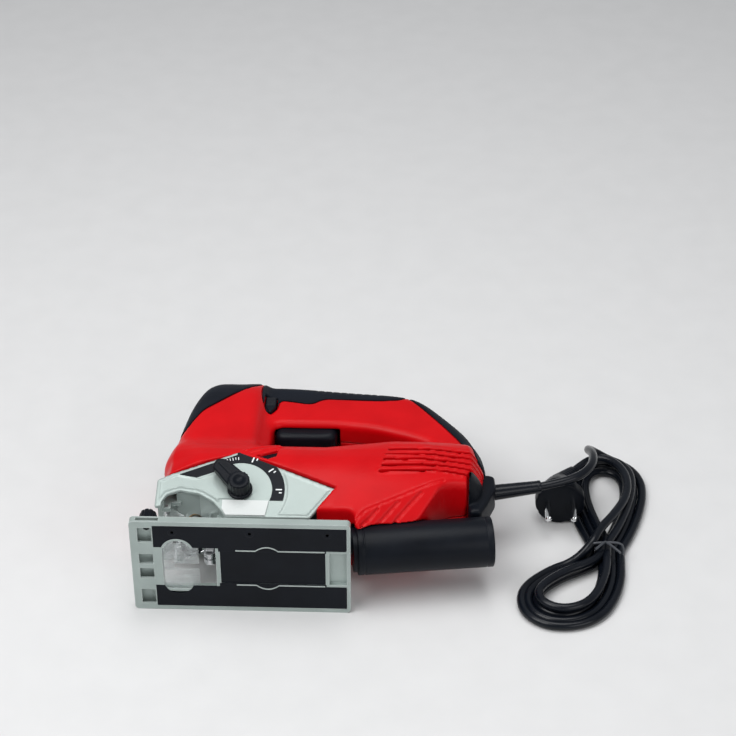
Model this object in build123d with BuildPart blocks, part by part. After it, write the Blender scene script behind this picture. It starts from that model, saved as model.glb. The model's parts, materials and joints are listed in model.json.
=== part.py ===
from build123d import *
import math
import os

# A corded jigsaw, lying on its right side as it is stored.
# Tool coordinates: u runs back from the shoe's front edge, v up from the sole, and w to
# the tool's left from its middle plane. The row frame has X along u, Y along v and Z
# along w, and the surface that the tool lies on is at Z = 0.

# ---- driving dimensions (mm) ----
LENGTH = 256.0             # shoe front to the rear end of the dust tube
HEIGHT = 202.0             # sole to the top of the front dome
HALF_WIDTH = 40.0          # middle plane to either side
WALL = 3.0                 # housing wall
GRIP = 1.5                 # soft grip layer over the housing
GAP = 0.3                  # between neighbours that don't fit together
RUNNING = 0.05             # radial clearance of a running fit
HANDLE_HALF = 17.5         # half width of the handle
DOME_HALF = 30.0           # half width of the front dome

SHOE_LENGTH = 154.0
SHOE_RIM = 6.0             # height of the shoe's rim
SHOE_SKIN = 3.0            # thickness of the shoe's plate
BEVEL_V = 2.0              # height of the axis that the shoe tilts about
SADDLE_R = 18.0
SADDLE_WALL = 3.0
SADDLE_U = (62.0, 90.0)
BEVEL_SCREW_U = (70.0, 81.0)
BLADE_GATE = (22.0, 59.5, 20.0)   # front, rear and half width of the blade's opening
FENCE_SLOT = (4.5, 20.5, 1.6, 4.6)  # u and v range of the fence's tunnel
GUIDE_KNOB = (11.5, 31.0)  # u and w of the guide clamp knob

PANEL = 2.7                # thickness of the side panels
PANEL_SLOPE = 0.3          # how fast the flanks draw in towards the sole
PANEL_TOP = (86.0, 38.0)   # v and w of the flank plane's upper line

MOTOR_V = 78.0             # height of the motor's axis
MODULE = 0.8
PINION_TEETH = 9
GEAR_TEETH = 55
GEAR_U = 58.0              # front face of the drive gear
GEAR_WIDTH = 8.0
GEAR_V = MOTOR_V + MODULE * (PINION_TEETH + GEAR_TEETH) / 2
CRANK = 10.0               # eccentric radius, half the 20 mm stroke
YOKE_REAR_U = 51.0
PLUNGER_U = 40.0
PLUNGER_R = 4.5
STATOR_R = 30.5
CORE_R = 19.5
SHAFT_R = 4.0
REAR_JOURNAL_R = 3.0
FRONT_BEARING_R = 11.0
REAR_BEARING_R = 9.5

ROLLER = (54.0, 12.0)      # guide roller behind the blade
ROLLER_R = 4.3
FORK_PIVOT = (60.0, 33.5)
GUARD_PIVOT = (20.0, 47.0)
TRIGGER_PIVOT = (93.5, 155.0)
TRIGGER_HALF = 11.5
PIN_R = 1.5                # pivot pins
KNOB_UV = (73.0, 52.0)     # orbit selector
DIAL_UV = (204.0, 170.0)   # speed dial
DIAL_R = 11.0
DIAL_WIDTH = 6.0
BUTTON = (82.3, 90.7)      # front and rear of the lock button

TUBE_R = 18.0
TUBE_WALL = 2.0
TUBE_TILT = 7.5            # degrees, rising to the rear
TUBE_END = (255.0, 34.5)   # u and v of the axis near the rear end
TUBE_FRONT_U = 157.5
DUCT_V = 33.0
DUCT_R = 10.0

CORD_R = 3.25
CORD_ROUTE = [             # u, v and height of the lead, from the strain relief to the hank
    (291.0, 96.5, 41.5),
    (314.0, 101.0, 44.0),
    (330.0, 118.0, 44.0),
    (333.0, 141.0, 39.0),
    (329.5, 160.0, 29.0),
    (334.0, 172.0, 17.5),
]
RELIEF_START = (247.0, 88.0, 40.0)
HANK_HEIGHT = 20.0
TIE_R = 9.6                # inside of the hank's tie
TIE_HEIGHT = 10.6
PLUG_U = 307.0
PLUG_R = 18.5
PLUG_FACE_V = 105.0

SCREW_POSTS = [(28, 150), (72, 172), (150, 168), (212, 145), (238, 104), (214, 66), (163, 47)]
POST_R = 4.5
SCREW_R = 1.8
VENT_ROWS = 5
VENT_PITCH = 6.2

# ---- outlines of the outer form, in u and v ----
BODY = [
    (12.5, 55), (13, 92), (34, 112), (92, 114), (140, 114), (160, 116), (185, 121), (222, 123),
    (242, 117), (249.5, 97), (249.5, 76), (243, 63), (219, 59), (198, 31), (176, 24),
    (155.5, 20), (155.5, 36), (90, 36),
]
DOME = [
    (13, 80), (15.5, 125), (20, 152), (29, 177), (43, 195), (60, 202), (78, 200), (82, 190),
    (82, 80),
]
HANDLE = [
    (60, 90), (60, 190), (78, 199), (106, 199), (142, 195), (185, 191.5), (203, 185),
    (225, 158), (239, 138), (247, 114), (249.5, 90),
]
FINGER_HOLE = [
    (90, 114), (90, 148), (140, 148), (168, 143), (190, 132), (186, 121), (160, 116), (140, 114),
]
ARROW = [(0, 59.5), (21.5, 65), (70, 85), (141.6, 55), (122, 28), (122, -5), (0, -5)]
PANEL_OUTLINE = [
    (12.8, 38), (12.8, 59.8), (21.5, 64.6), (70, 84.6), (141, 55), (123.5, 30.5), (64, 30.5),
    (60, 36), (54, 43), (44, 49), (30, 51.5), (21, 48), (17.5, 42), (17.5, 38),
]
CAP_REGION = [(-5, 128), (22, 131), (37, 156), (60, 176), (77, 192), (80, 220), (-5, 220)]
GRIP_REGION = [
    (84, 220), (81, 196), (82, 180), (91, 180), (116, 177), (127, 184), (170, 182.5),
    (189, 183.5), (196, 220),
]
REAR_REGION = [
    (200, 220), (193.5, 186.5), (205, 176), (223, 150), (235, 132), (243, 112), (245.5, 96),
    (262, 96), (262, 220),
]


# ---- places and simple solids ----
def at(u, v, w=0.0):
    """A point of the tool in the row frame."""
    return (u - LENGTH / 2, v - HEIGHT / 2, w + HALF_WIDTH)


def side(w=0.0, u=0.0, v=0.0):
    """Seen from the tool's left: local x is u, local y is v, and it faces +w."""
    return Plane(origin=at(u, v, w), x_dir=(1, 0, 0), z_dir=(0, 0, 1))


def front(u=0.0, v=0.0, w=0.0):
    """A cross-section: local x is v, local y is w, and it faces the rear."""
    return Plane(origin=at(u, v, w), x_dir=(0, 1, 0), z_dir=(1, 0, 0))


def level(v=0.0, u=0.0, w=0.0):
    """Seen from above the tool: local x is w, local y is u, and it faces +v."""
    return Plane(origin=at(u, v, w), x_dir=(0, 0, 1), z_dir=(0, 1, 0))


def prism(plane, outline, depth, inset=0.0, radius=0.0):
    """A closed outline on a plane, rounded, drawn in by inset and extruded."""
    with BuildPart() as block:
        with BuildSketch(plane) as sketch:
            with BuildLine():
                Polyline(*outline, close=True)
            make_face()
            if radius:
                fillet(sketch.vertices(), radius)
            if inset:
                offset(amount=-inset, kind=Kind.INTERSECTION, mode=Mode.REPLACE)
        extrude(amount=depth)
    return block.part


def bar(plane, radius, depth, bore=0.0):
    """A round bar or ring that stands on a plane."""
    with BuildPart() as block:
        with BuildSketch(plane):
            Circle(radius)
            if bore:
                Circle(bore, mode=Mode.SUBTRACT)
        extrude(amount=depth)
    return block.part


def box(low, high):
    """A box between two corners given as u, v, w."""
    size = [b - a for a, b in zip(low, high)]
    with BuildPart() as block:
        with Locations(at(*low)):
            Box(*size, align=(Align.MIN, Align.MIN, Align.MIN))
    return block.part


def cut(solid, *tools):
    """A solid less the tools."""
    with BuildPart() as block:
        add(solid)
        for tool in tools:
            add(tool, mode=Mode.SUBTRACT)
    return block.part


def common(solid, tool):
    """What two solids share."""
    with BuildPart() as block:
        add(solid)
        add(tool, mode=Mode.INTERSECT)
    return block.part


def save(block, name):
    """Label a finished piece and write it."""
    block.part.label = name
    export_step(block.part, f"parts/{name}.step")


os.makedirs("parts", exist_ok=True)


# ---- the outer form, left half ----
def motor_body(inset=0.0):
    """Left half of the motor housing: its side, section and plan seen together."""
    start = -1.0 if inset else 0.0
    plan = [
        (-9, 12.5), (18, 12.5), (32, 22), (40, 40), (40, 205), (32, 238), (16, 249.5), (-9, 249.5),
    ]
    flank = [(0, 14.5 - inset), (84, 40 - inset), (84, 60), (0, 60)]
    with BuildPart() as block:
        add(prism(side(start), BODY, HALF_WIDTH + 2, inset))
        with BuildSketch(front()):
            with BuildLine():
                Polyline((16, -9), (16, 33.5), (62, 40), (80, 40))
                ThreePointArc((80, 40), (101.5, 34.0), (115, 20))
                Polyline((115, 20), (125, 10), (125, -9), (16, -9))
            make_face()
            if inset:
                offset(amount=-inset, mode=Mode.REPLACE)
        extrude(amount=LENGTH, mode=Mode.INTERSECT)
        add(prism(level(0), plan, HEIGHT, inset), mode=Mode.INTERSECT)
        add(prism(front(), flank, 155.5), mode=Mode.SUBTRACT)
    return block.part


def slab(outline, half, inset, edge):
    """Left half of the dome or the handle: its side outline, stepped in towards the side."""
    start = -1.0 if inset else 0.0
    with BuildPart() as block:
        for share in (0.0, 0.5, 0.85, 1.0):
            depth = half - inset - start - edge * (1 - math.sqrt(1 - share**2))
            add(prism(side(start), outline, depth, inset + edge * (1 - share)))
    return block.part


def outer_form(inset=0.0):
    """Left half of the whole outer form, drawn in by inset."""
    with BuildPart() as form:
        add(motor_body(inset))
        add(slab(DOME, DOME_HALF, inset, 8.0))
        add(slab(HANDLE, HANDLE_HALF, inset, 6.0))
        add(prism(side(-2), FINGER_HOLE, 60, -inset, 6.0), mode=Mode.SUBTRACT)
    return form.part


def tube_plane(distance):
    """Across the dust tube's axis, at a distance along it from its front end."""
    tilt = math.radians(TUBE_TILT)
    front_v = TUBE_END[1] - (TUBE_END[0] - TUBE_FRONT_U) * math.tan(tilt)
    along = distance * math.cos(tilt)
    origin = at(TUBE_FRONT_U + along, front_v + distance * math.sin(tilt))
    return Plane(origin=origin, x_dir=(0, 0, 1), z_dir=(math.cos(tilt), math.sin(tilt), 0))


def row_point(u, v, height):
    """A point of the cord's route in the row frame, from its height over the floor."""
    return (u - LENGTH / 2, v - HEIGHT / 2, height)


def relief_plane(distance):
    """Across the strain relief's axis, at a distance along it from the housing."""
    start = Vector(*row_point(*RELIEF_START))
    direction = (Vector(*row_point(*CORD_ROUTE[0])) - start).normalized()
    return Plane(origin=start + direction * distance, x_dir=(0, 0, 1), z_dir=direction)


skin_full = outer_form()
skin_under = outer_form(GRIP)
hollow = outer_form(WALL)
tube_bed = bar(tube_plane(-6), TUBE_R + 0.6, 120)
cavity = cut(hollow, bar(tube_plane(-9), TUBE_R + 3.2, 126))


# ---- housing shells and soft grips ----
def rib(u0, u1, bore):
    """A wall across the inside of the left shell with a round seat for a motor part."""
    with BuildPart() as wall:
        add(skin_under)
        add(box((u0, MOTOR_V - 31, 0), (u1, 110, 60)), mode=Mode.INTERSECT)
        add(bar(front(u0 - 1, MOTOR_V), bore, u1 - u0 + 2), mode=Mode.SUBTRACT)
    return wall.part


def vent(row):
    """One cooling slot of the rear flank, widening a little towards the rear."""
    v = 68.0 + VENT_PITCH * row
    u0 = 173.0 + 1.5 * row
    return prism(side(20), [(u0, v - 1.3), (u0, v + 1.3), (222, v + 3.2), (224, v + 0.2)], 40)


grips = [prism(side(-60), region, 120) for region in (CAP_REGION, GRIP_REGION, REAR_REGION)]
grip_layer = cut(skin_full, skin_under, bar(side(-1, *DIAL_UV), DIAL_R + 0.6, DIAL_WIDTH / 2 + 1.5))
trigger_room = box((90.5, 144, -1), (140.5, 153, TRIGGER_HALF + 0.5))
dial_room = bar(side(-1, *DIAL_UV), DIAL_R + 0.6, DIAL_WIDTH / 2 + 1.5)
relief_room = bar(relief_plane(-16), 7.6, 30)
duct_room = bar(front(80, DUCT_V), DUCT_R + 0.2, 78)

with BuildPart() as left_form:
    add(skin_full)
    add(cavity, mode=Mode.SUBTRACT)
    add(tube_bed, mode=Mode.SUBTRACT)
    for u0, u1, bore in ((104, 107, STATOR_R), (147, 150, STATOR_R), (199, 206, REAR_BEARING_R)):
        add(rib(u0, u1, bore))
    for u, v in SCREW_POSTS:
        add(common(skin_under, bar(side(0, u, v), POST_R, 60)))
    add(prism(side(-1), ARROW, 60), mode=Mode.SUBTRACT)
    for row in range(VENT_ROWS):
        add(vent(row), mode=Mode.SUBTRACT)
    for room in (trigger_room, dial_room, relief_room, tube_bed, duct_room):
        add(room, mode=Mode.SUBTRACT)
    for region in grips:
        add(common(grip_layer, region), mode=Mode.SUBTRACT)

mirrored = mirror(left_form.part, about=side())
button_room = box((BUTTON[0] - GAP, 157.5, 5), (BUTTON[1] + GAP, 178.5, 40))

with BuildPart() as housing_left:
    add(left_form.part)
    for u, v in SCREW_POSTS:
        add(bar(side(-1, u, v), SCREW_R, 12), mode=Mode.SUBTRACT)
    add(button_room, mode=Mode.SUBTRACT)
save(housing_left, "housing_left")

with BuildPart() as housing_right:
    add(mirrored)
    for u, v in SCREW_POSTS:
        add(bar(side(-60, u, v), SCREW_R, 61), mode=Mode.SUBTRACT)
        add(bar(side(-60, u, v), SCREW_R + 1.7, 52), mode=Mode.SUBTRACT)
save(housing_right, "housing_right")

for name, region in zip(("front_cap_grip", "handle_grip", "rear_grip"), grips):
    with BuildPart() as grip:
        half_grip = common(grip_layer, region)
        add(half_grip)
        add(mirror(half_grip, about=side()))
        add(button_room, mode=Mode.SUBTRACT)
    save(grip, name)


# ---- light-metal front end ----
def flank_w(v):
    """Half width of the sloping flank at a height."""
    return PANEL_TOP[1] + PANEL_SLOPE * (v - PANEL_TOP[0])


def flank_slice(outer, inner, v0=0.0, v1=100.0):
    """The strip along the tool between two planes parallel to the left flank."""
    strip = [
        (v0, flank_w(v0) + outer), (v1, flank_w(v1) + outer),
        (v1, flank_w(v1) + inner), (v0, flank_w(v0) + inner),
    ]
    return prism(front(), strip, LENGTH)


slope = math.atan(PANEL_SLOPE)
knob_origin = Vector(*at(KNOB_UV[0], KNOB_UV[1], flank_w(KNOB_UV[1])))
knob_axis = Vector(0, -math.sin(slope), math.cos(slope))
SELECTOR_SHAFT_R = 3.0


def knob_plane(distance):
    """Parallel to the left flank, at a distance out from it on the orbit selector's axis."""
    return Plane(origin=knob_origin + knob_axis * distance, x_dir=(1, 0, 0), z_dir=knob_axis)


plain_panel = common(prism(side(), PANEL_OUTLINE, 60), flank_slice(0.0, -PANEL))

with BuildPart() as side_panel_left:
    add(plain_panel)
    add(bar(knob_plane(-10), SELECTOR_SHAFT_R + RUNNING, 20), mode=Mode.SUBTRACT)
save(side_panel_left, "side_panel_left")

with BuildPart() as side_panel_right:
    add(mirror(plain_panel, about=side()))
save(side_panel_right, "side_panel_right")

CASE_SIDE = [
    (27, 53), (27, 112), (31, 142), (50, 142), (64, 130), (72, 112), (81, 96), (81, 60),
    (84, 40), (84, 17), (66, 17), (64, 38), (58, 44), (44, 51.5),
]
CASE_SECTION = [
    (17.5, 8.8), (20.5, 12), (37.5, 12), (38, 19), (60, 26.5), (104, 26.5), (127, 14),
    (143, 12),
]
BUSH_R = 8.0
BUSH_SPANS = [(52.5, 68.5), (128.0, 139.0)]

with BuildPart() as gear_case:
    add(prism(side(-30), CASE_SIDE, 60))
    full_section = CASE_SECTION + [(v, -w) for v, w in reversed(CASE_SECTION)]
    add(prism(front(), full_section, 100), mode=Mode.INTERSECT)
    add(bar(front(33, GEAR_V), 23.8, 35), mode=Mode.SUBTRACT)
    add(bar(front(50, MOTOR_V), 6.0, 22), mode=Mode.SUBTRACT)
    add(bar(front(71, MOTOR_V), FRONT_BEARING_R, 7), mode=Mode.SUBTRACT)
    add(bar(front(70, MOTOR_V), FRONT_BEARING_R - 2, 20), mode=Mode.SUBTRACT)
    add(bar(front(60, GEAR_V), 4.0, 16), mode=Mode.SUBTRACT)
    add(bar(level(30, PLUNGER_U), 5.5, 120), mode=Mode.SUBTRACT)
    for v0, v1 in BUSH_SPANS:
        add(bar(level(v0, PLUNGER_U), BUSH_R, v1 - v0), mode=Mode.SUBTRACT)
    add(bar(front(60, DUCT_V), DUCT_R - 1.5, 40), mode=Mode.SUBTRACT)
    add(bar(front(50, BEVEL_V), SADDLE_R + GAP, 40), mode=Mode.SUBTRACT)
    for u in BEVEL_SCREW_U:
        add(bar(level(15, u), 2.0, 8.6), mode=Mode.SUBTRACT)
    # lugs that carry the orbit fork's pin
    for w in (-10.5, 7.5):
        add(box((56.5, 30.5, w), (64.5, 45.5, w + 3)))
    add(bar(side(-11, *FORK_PIVOT), PIN_R, 22), mode=Mode.SUBTRACT)
    # a seat for the guard's hinge
    for w in (-16.5, 13.5):
        add(box((18, 51, w), (30, 60, w + 3)))
    add(box((18, 57, -16.5), (30, 60, 16.5)))
    for w in (-16.5, 13.5):
        add(box((18, 44, w), (23, 52, w + 3)))
    add(bar(side(-17, *GUARD_PIVOT), PIN_R, 34), mode=Mode.SUBTRACT)
save(gear_case, "gear_case")

with BuildPart() as plunger_bushes:
    for v0, v1 in BUSH_SPANS:
        add(bar(level(v0, PLUNGER_U), BUSH_R, v1 - v0, PLUNGER_R + RUNNING))
save(plunger_bushes, "plunger_bushes")

with BuildPart() as nose_cover:
    add(prism(side(-29), [(12.8, 52), (12.8, 59.8), (17.5, 62.4), (17.5, 52)], 58))
    add(prism(side(-29), [(12.8, 61.4), (12.8, 62.4), (17.5, 62.4)], 58), mode=Mode.SUBTRACT)
    nose_half = [(40, flank_w(40) - PANEL), (100, flank_w(100) - PANEL)]
    nose_section = nose_half + [(v, -w) for v, w in reversed(nose_half)]
    add(prism(front(), nose_section, 40), mode=Mode.INTERSECT)
save(nose_cover, "nose_cover")

# ---- scale plate under the orbit selector, on the left flank ----
SCALE_BAND = [(28.6, 64.3), (70, 82), (93, 72.5), (88, 66), (70, 74), (41, 62)]
SCALE_ARC = (23.0, 32.0)

with BuildPart() as scale_plate:
    add(prism(side(), SCALE_BAND, 60))
    ring = bar(side(0, *KNOB_UV), SCALE_ARC[1], 60, SCALE_ARC[0])
    add(common(ring, box((KNOB_UV[0] - 4, KNOB_UV[1] - 8, 0), (120, 100, 60))))
    add(bar(side(0, *KNOB_UV), SCALE_ARC[0], 60), mode=Mode.SUBTRACT)
    add(prism(side(), PANEL_OUTLINE, 60, 0.8), mode=Mode.INTERSECT)
    add(flank_slice(0.5, 0.0), mode=Mode.INTERSECT)
save(scale_plate, "scale_plate")

# ---- white block at the left panel's lower edge ----
with BuildPart() as panel_block:
    add(prism(side(), [(64, 31), (92, 31), (94, 43), (61, 43), (61, 36)], 60))
    add(flank_slice(1.2, 0.0), mode=Mode.INTERSECT)
save(panel_block, "panel_block")

# ---- screws that close the housing, driven from the right ----
with BuildPart() as housing_screws:
    for u, v in SCREW_POSTS:
        add(bar(side(-10.5, u, v), SCREW_R + 1.5, 2.5))
        add(bar(side(-9, u, v), SCREW_R, 20))
        add(bar(side(-10.6, u, v), 1.0, 1.6), mode=Mode.SUBTRACT)
save(housing_screws, "housing_screws")

# ---- motor ----
STATOR_U = (104.0, 150.0)
with BuildPart() as stator_core:
    with BuildSketch(front(STATOR_U[0], MOTOR_V)) as lamination:
        Circle(STATOR_R)
        Circle(CORE_R + 0.8, mode=Mode.SUBTRACT)
        with Locations((0, 0)):
            Rectangle(2 * STATOR_R - 3, 12, mode=Mode.ADD)
            Circle(CORE_R + 0.8, mode=Mode.SUBTRACT)
        for side_sign in (-1, 1):
            with Locations((side_sign * 24.5, 0)):
                Rectangle(5, 26, mode=Mode.SUBTRACT)
    extrude(amount=STATOR_U[1] - STATOR_U[0])
save(stator_core, "stator_core")

with BuildPart() as field_coils:
    for side_sign in (-1, 1):
        centre_v = MOTOR_V + side_sign * 24.5
        low = (STATOR_U[0] - 7, centre_v - 2.3, -12.6)
        high = (STATOR_U[1] + 7, centre_v + 2.3, 12.6)
        add(box(low, high))
save(field_coils, "field_coils")

BRUSH_U = 171.0
with BuildPart() as brush_holders:
    for sign in (-1, 1):
        low, high = sorted((sign * 14.0, sign * 32.0))
        add(box((BRUSH_U - 6.5, MOTOR_V - 5.5, low), (BRUSH_U + 6.5, MOTOR_V + 5.5, high)))
        low, high = sorted((sign * 13.0, sign * 30.0))
        room = box((BRUSH_U - 4.5, MOTOR_V - 3.5, low), (BRUSH_U + 4.5, MOTOR_V + 3.5, high))
        add(room, mode=Mode.SUBTRACT)
save(brush_holders, "brush_holders")

COMMUTATOR_R = 11.5
with BuildPart() as carbon_brushes:
    for sign in (-1, 1):
        low, high = sorted((sign * (COMMUTATOR_R + 0.1), sign * 28.0))
        add(box((BRUSH_U - 4.5, MOTOR_V - 3.5, low), (BRUSH_U + 4.5, MOTOR_V + 3.5, high)))
    add(bar(front(BRUSH_U - 10, MOTOR_V), COMMUTATOR_R + 0.1, 20), mode=Mode.SUBTRACT)
save(carbon_brushes, "carbon_brushes")

with BuildPart() as motor_bearings:
    add(bar(front(71, MOTOR_V), FRONT_BEARING_R, 7, SHAFT_R + RUNNING))
    add(bar(front(199, MOTOR_V), REAR_BEARING_R, 7, REAR_JOURNAL_R + RUNNING))
save(motor_bearings, "motor_bearings")

with BuildPart() as armature_shaft:
    add(bar(front(68, MOTOR_V), SHAFT_R, 130))
    add(bar(front(198, MOTOR_V), REAR_JOURNAL_R, 9))
save(armature_shaft, "armature_shaft")

CORE_SLOTS = 12
with BuildPart() as armature_core:
    with BuildSketch(front(106, MOTOR_V)):
        Circle(CORE_R)
        Circle(SHAFT_R, mode=Mode.SUBTRACT)
        with PolarLocations(CORE_R - 2.5, CORE_SLOTS):
            Rectangle(6, 2.4, mode=Mode.SUBTRACT)
    extrude(amount=42)
save(armature_core, "armature_core")

with BuildPart() as armature_windings:
    for u0, u1 in ((99.5, 105.5), (148.5, 158.5)):
        add(bar(front(u0, MOTOR_V), 17.0, u1 - u0, SHAFT_R))
        add(bar(front(u0 - 0.5, MOTOR_V), 8.0, u1 - u0 + 1, SHAFT_R))
save(armature_windings, "armature_windings")

with BuildPart() as commutator:
    with BuildSketch(front(160, MOTOR_V)):
        Circle(COMMUTATOR_R)
        Circle(SHAFT_R, mode=Mode.SUBTRACT)
        with PolarLocations(COMMUTATOR_R, 24):
            Rectangle(1.2, 0.5, mode=Mode.SUBTRACT)
    extrude(amount=20)
save(commutator, "commutator")

FAN_R = 27.0
FAN_BLADES = 11
with BuildPart() as cooling_fan:
    add(bar(front(84, MOTOR_V), 9.0, 12, SHAFT_R))
    add(bar(front(94, MOTOR_V), FAN_R, 2, SHAFT_R))
    for n in range(FAN_BLADES):
        turn = math.radians(360.0 * n / FAN_BLADES)
        centre = at(84, MOTOR_V + 17 * math.cos(turn), 17 * math.sin(turn))
        along = (0, math.cos(turn + 0.35), math.sin(turn + 0.35))
        with BuildSketch(Plane(origin=centre, x_dir=along, z_dir=(1, 0, 0))):
            Rectangle(18.5, 1.4)
        extrude(amount=11)
    add(bar(front(80, MOTOR_V), SHAFT_R, 30), mode=Mode.SUBTRACT)
save(cooling_fan, "cooling_fan")

with BuildPart() as air_baffle:
    add(bar(front(84, MOTOR_V), FAN_R + 3.0, 13, FAN_R + 1.0))
    add(box((83, 103, -12), (98, 120, 12)), mode=Mode.SUBTRACT)
save(air_baffle, "air_baffle")


# ---- gear train and plunger ----
def tooth_outline(teeth):
    """A straight-flanked gear's outline, with one tooth centred on local x."""
    pitch_r = MODULE * teeth / 2
    profile = [
        (pitch_r - 1.15 * MODULE, 0.31), (pitch_r, 0.21), (pitch_r + 0.85 * MODULE, 0.10),
    ]
    points = []
    for n in range(teeth):
        for sign, steps in ((-1, profile), (1, profile[::-1])):
            for radius, share in steps:
                angle = 2 * math.pi * (n + sign * share) / teeth
                points.append((radius * math.cos(angle), radius * math.sin(angle)))
    return points


with BuildPart() as motor_pinion:
    add(prism(front(GEAR_U - 1, MOTOR_V), tooth_outline(PINION_TEETH), GEAR_WIDTH + 3))
save(motor_pinion, "motor_pinion")

with BuildPart() as drive_gear:
    add(prism(front(GEAR_U, GEAR_V), tooth_outline(GEAR_TEETH), GEAR_WIDTH))
    add(bar(front(GEAR_U - 1, GEAR_V), 4.0 + RUNNING, 20), mode=Mode.SUBTRACT)
    add(bar(front(GEAR_U + 5, GEAR_V), 18.5, 5, 9.0), mode=Mode.SUBTRACT)
save(drive_gear, "drive_gear")

with BuildPart() as eccentric_pin:
    add(bar(front(YOKE_REAR_U + 0.4, GEAR_V, CRANK), 3.3, GEAR_U - YOKE_REAR_U - 0.4))
save(eccentric_pin, "eccentric_pin")

with BuildPart() as gear_axle:
    add(bar(front(GEAR_U, GEAR_V), 4.0, 18))
save(gear_axle, "gear_axle")

PLUNGER_V = (22.0, 146.0)
CLAMP_V = (21.0, 34.0)
YOKE_HALF = (7.0, 15.5)
with BuildPart() as plunger:
    add(bar(level(PLUNGER_V[0], PLUNGER_U), PLUNGER_R, PLUNGER_V[1] - PLUNGER_V[0]))
    dv, dw = YOKE_HALF
    add(box((PLUNGER_U, GEAR_V - dv, -dw), (YOKE_REAR_U, GEAR_V + dv, dw)))
    slot = box((46, GEAR_V - 3.6, -13.5), (YOKE_REAR_U + 1, GEAR_V + 3.6, 13.5))
    add(slot, mode=Mode.SUBTRACT)
    # the slot for the blade's tang
    add(box((36.5, 18, -0.8), (43.5, 38, 0.8)), mode=Mode.SUBTRACT)
save(plunger, "plunger")

with BuildPart() as blade_clamp:
    clamp_v0, clamp_v1 = CLAMP_V
    with BuildSketch(level(clamp_v0, PLUNGER_U)):
        Circle(7.5)
        with PolarLocations(7.5, 16):
            Circle(0.45)
        Circle(PLUNGER_R + RUNNING, mode=Mode.SUBTRACT)
    extrude(amount=clamp_v1 - clamp_v0)
save(blade_clamp, "blade_clamp")

# ---- orbit fork and guide roller ----
with BuildPart() as orbit_fork:
    for w in (-6.9, 4.9):
        arm = [(57.2, 35.5), (62.8, 34), (56.6, 10.2), (51.6, 10.2), (51.6, 14.5)]
        add(prism(side(w), arm, 2))
    add(bar(side(-6.9, *FORK_PIVOT), 3.0, 13.8))
    add(bar(side(-8, *FORK_PIVOT), PIN_R + RUNNING, 16), mode=Mode.SUBTRACT)
    add(bar(side(-8, *ROLLER), 1.2, 16), mode=Mode.SUBTRACT)
save(orbit_fork, "orbit_fork")

with BuildPart() as guide_roller:
    add(bar(side(-4.5, *ROLLER), ROLLER_R, 9, 1.2 + RUNNING))
    groove = bar(side(-0.8, *ROLLER), ROLLER_R + 1, 1.6, ROLLER_R - 0.8)
    add(groove, mode=Mode.SUBTRACT)
save(guide_roller, "guide_roller")

with BuildPart() as roller_pin:
    add(bar(side(-6.9, *ROLLER), 1.2, 13.8))
save(roller_pin, "roller_pin")

# ---- blade guards ----
GUARD_HALF = 13.0
with BuildPart() as clear_guard:
    wall_side = [(18.2, 22), (18.2, 49.5), (23, 49.5), (34, 40), (34, 22)]
    add(prism(side(-GUARD_HALF), wall_side, 2 * GUARD_HALF))
    inner_side = [(20.2, 10), (20.2, 43), (23, 55), (60, 55), (60, 10)]
    add(prism(side(2 - GUARD_HALF), inner_side, 2 * GUARD_HALF - 4), mode=Mode.SUBTRACT)
    for w in (-GUARD_HALF, GUARD_HALF - 2):
        add(bar(side(w, *GUARD_PIVOT), 3.4, 2))
    add(bar(side(-20, *GUARD_PIVOT), PIN_R + RUNNING, 40), mode=Mode.SUBTRACT)
save(clear_guard, "clear_guard")

PIN_HALF = {FORK_PIVOT: 10.5, GUARD_PIVOT: 16.5, TRIGGER_PIVOT: 14.4, DIAL_UV: 7.0}
with BuildPart() as pivot_pins:
    for pivot, half in PIN_HALF.items():
        add(bar(side(-half, *pivot), PIN_R, 2 * half))
save(pivot_pins, "pivot_pins")

WIRE_R = 1.1
WIRE_ROUTE = [
    (52, 52, 9.4), (50, 30, 9.4), (30, 15, 9.4), (30, 15, -9.4), (50, 30, -9.4), (52, 52, -9.4),
]
with BuildPart() as wire_guard:
    with BuildLine() as wire_line:
        FilletPolyline(*[at(*point) for point in WIRE_ROUTE], radius=5)
    with BuildSketch(level(52, 52, 9.4)):
        Circle(WIRE_R)
    sweep(path=wire_line.line)
save(wire_guard, "wire_guard")

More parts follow.
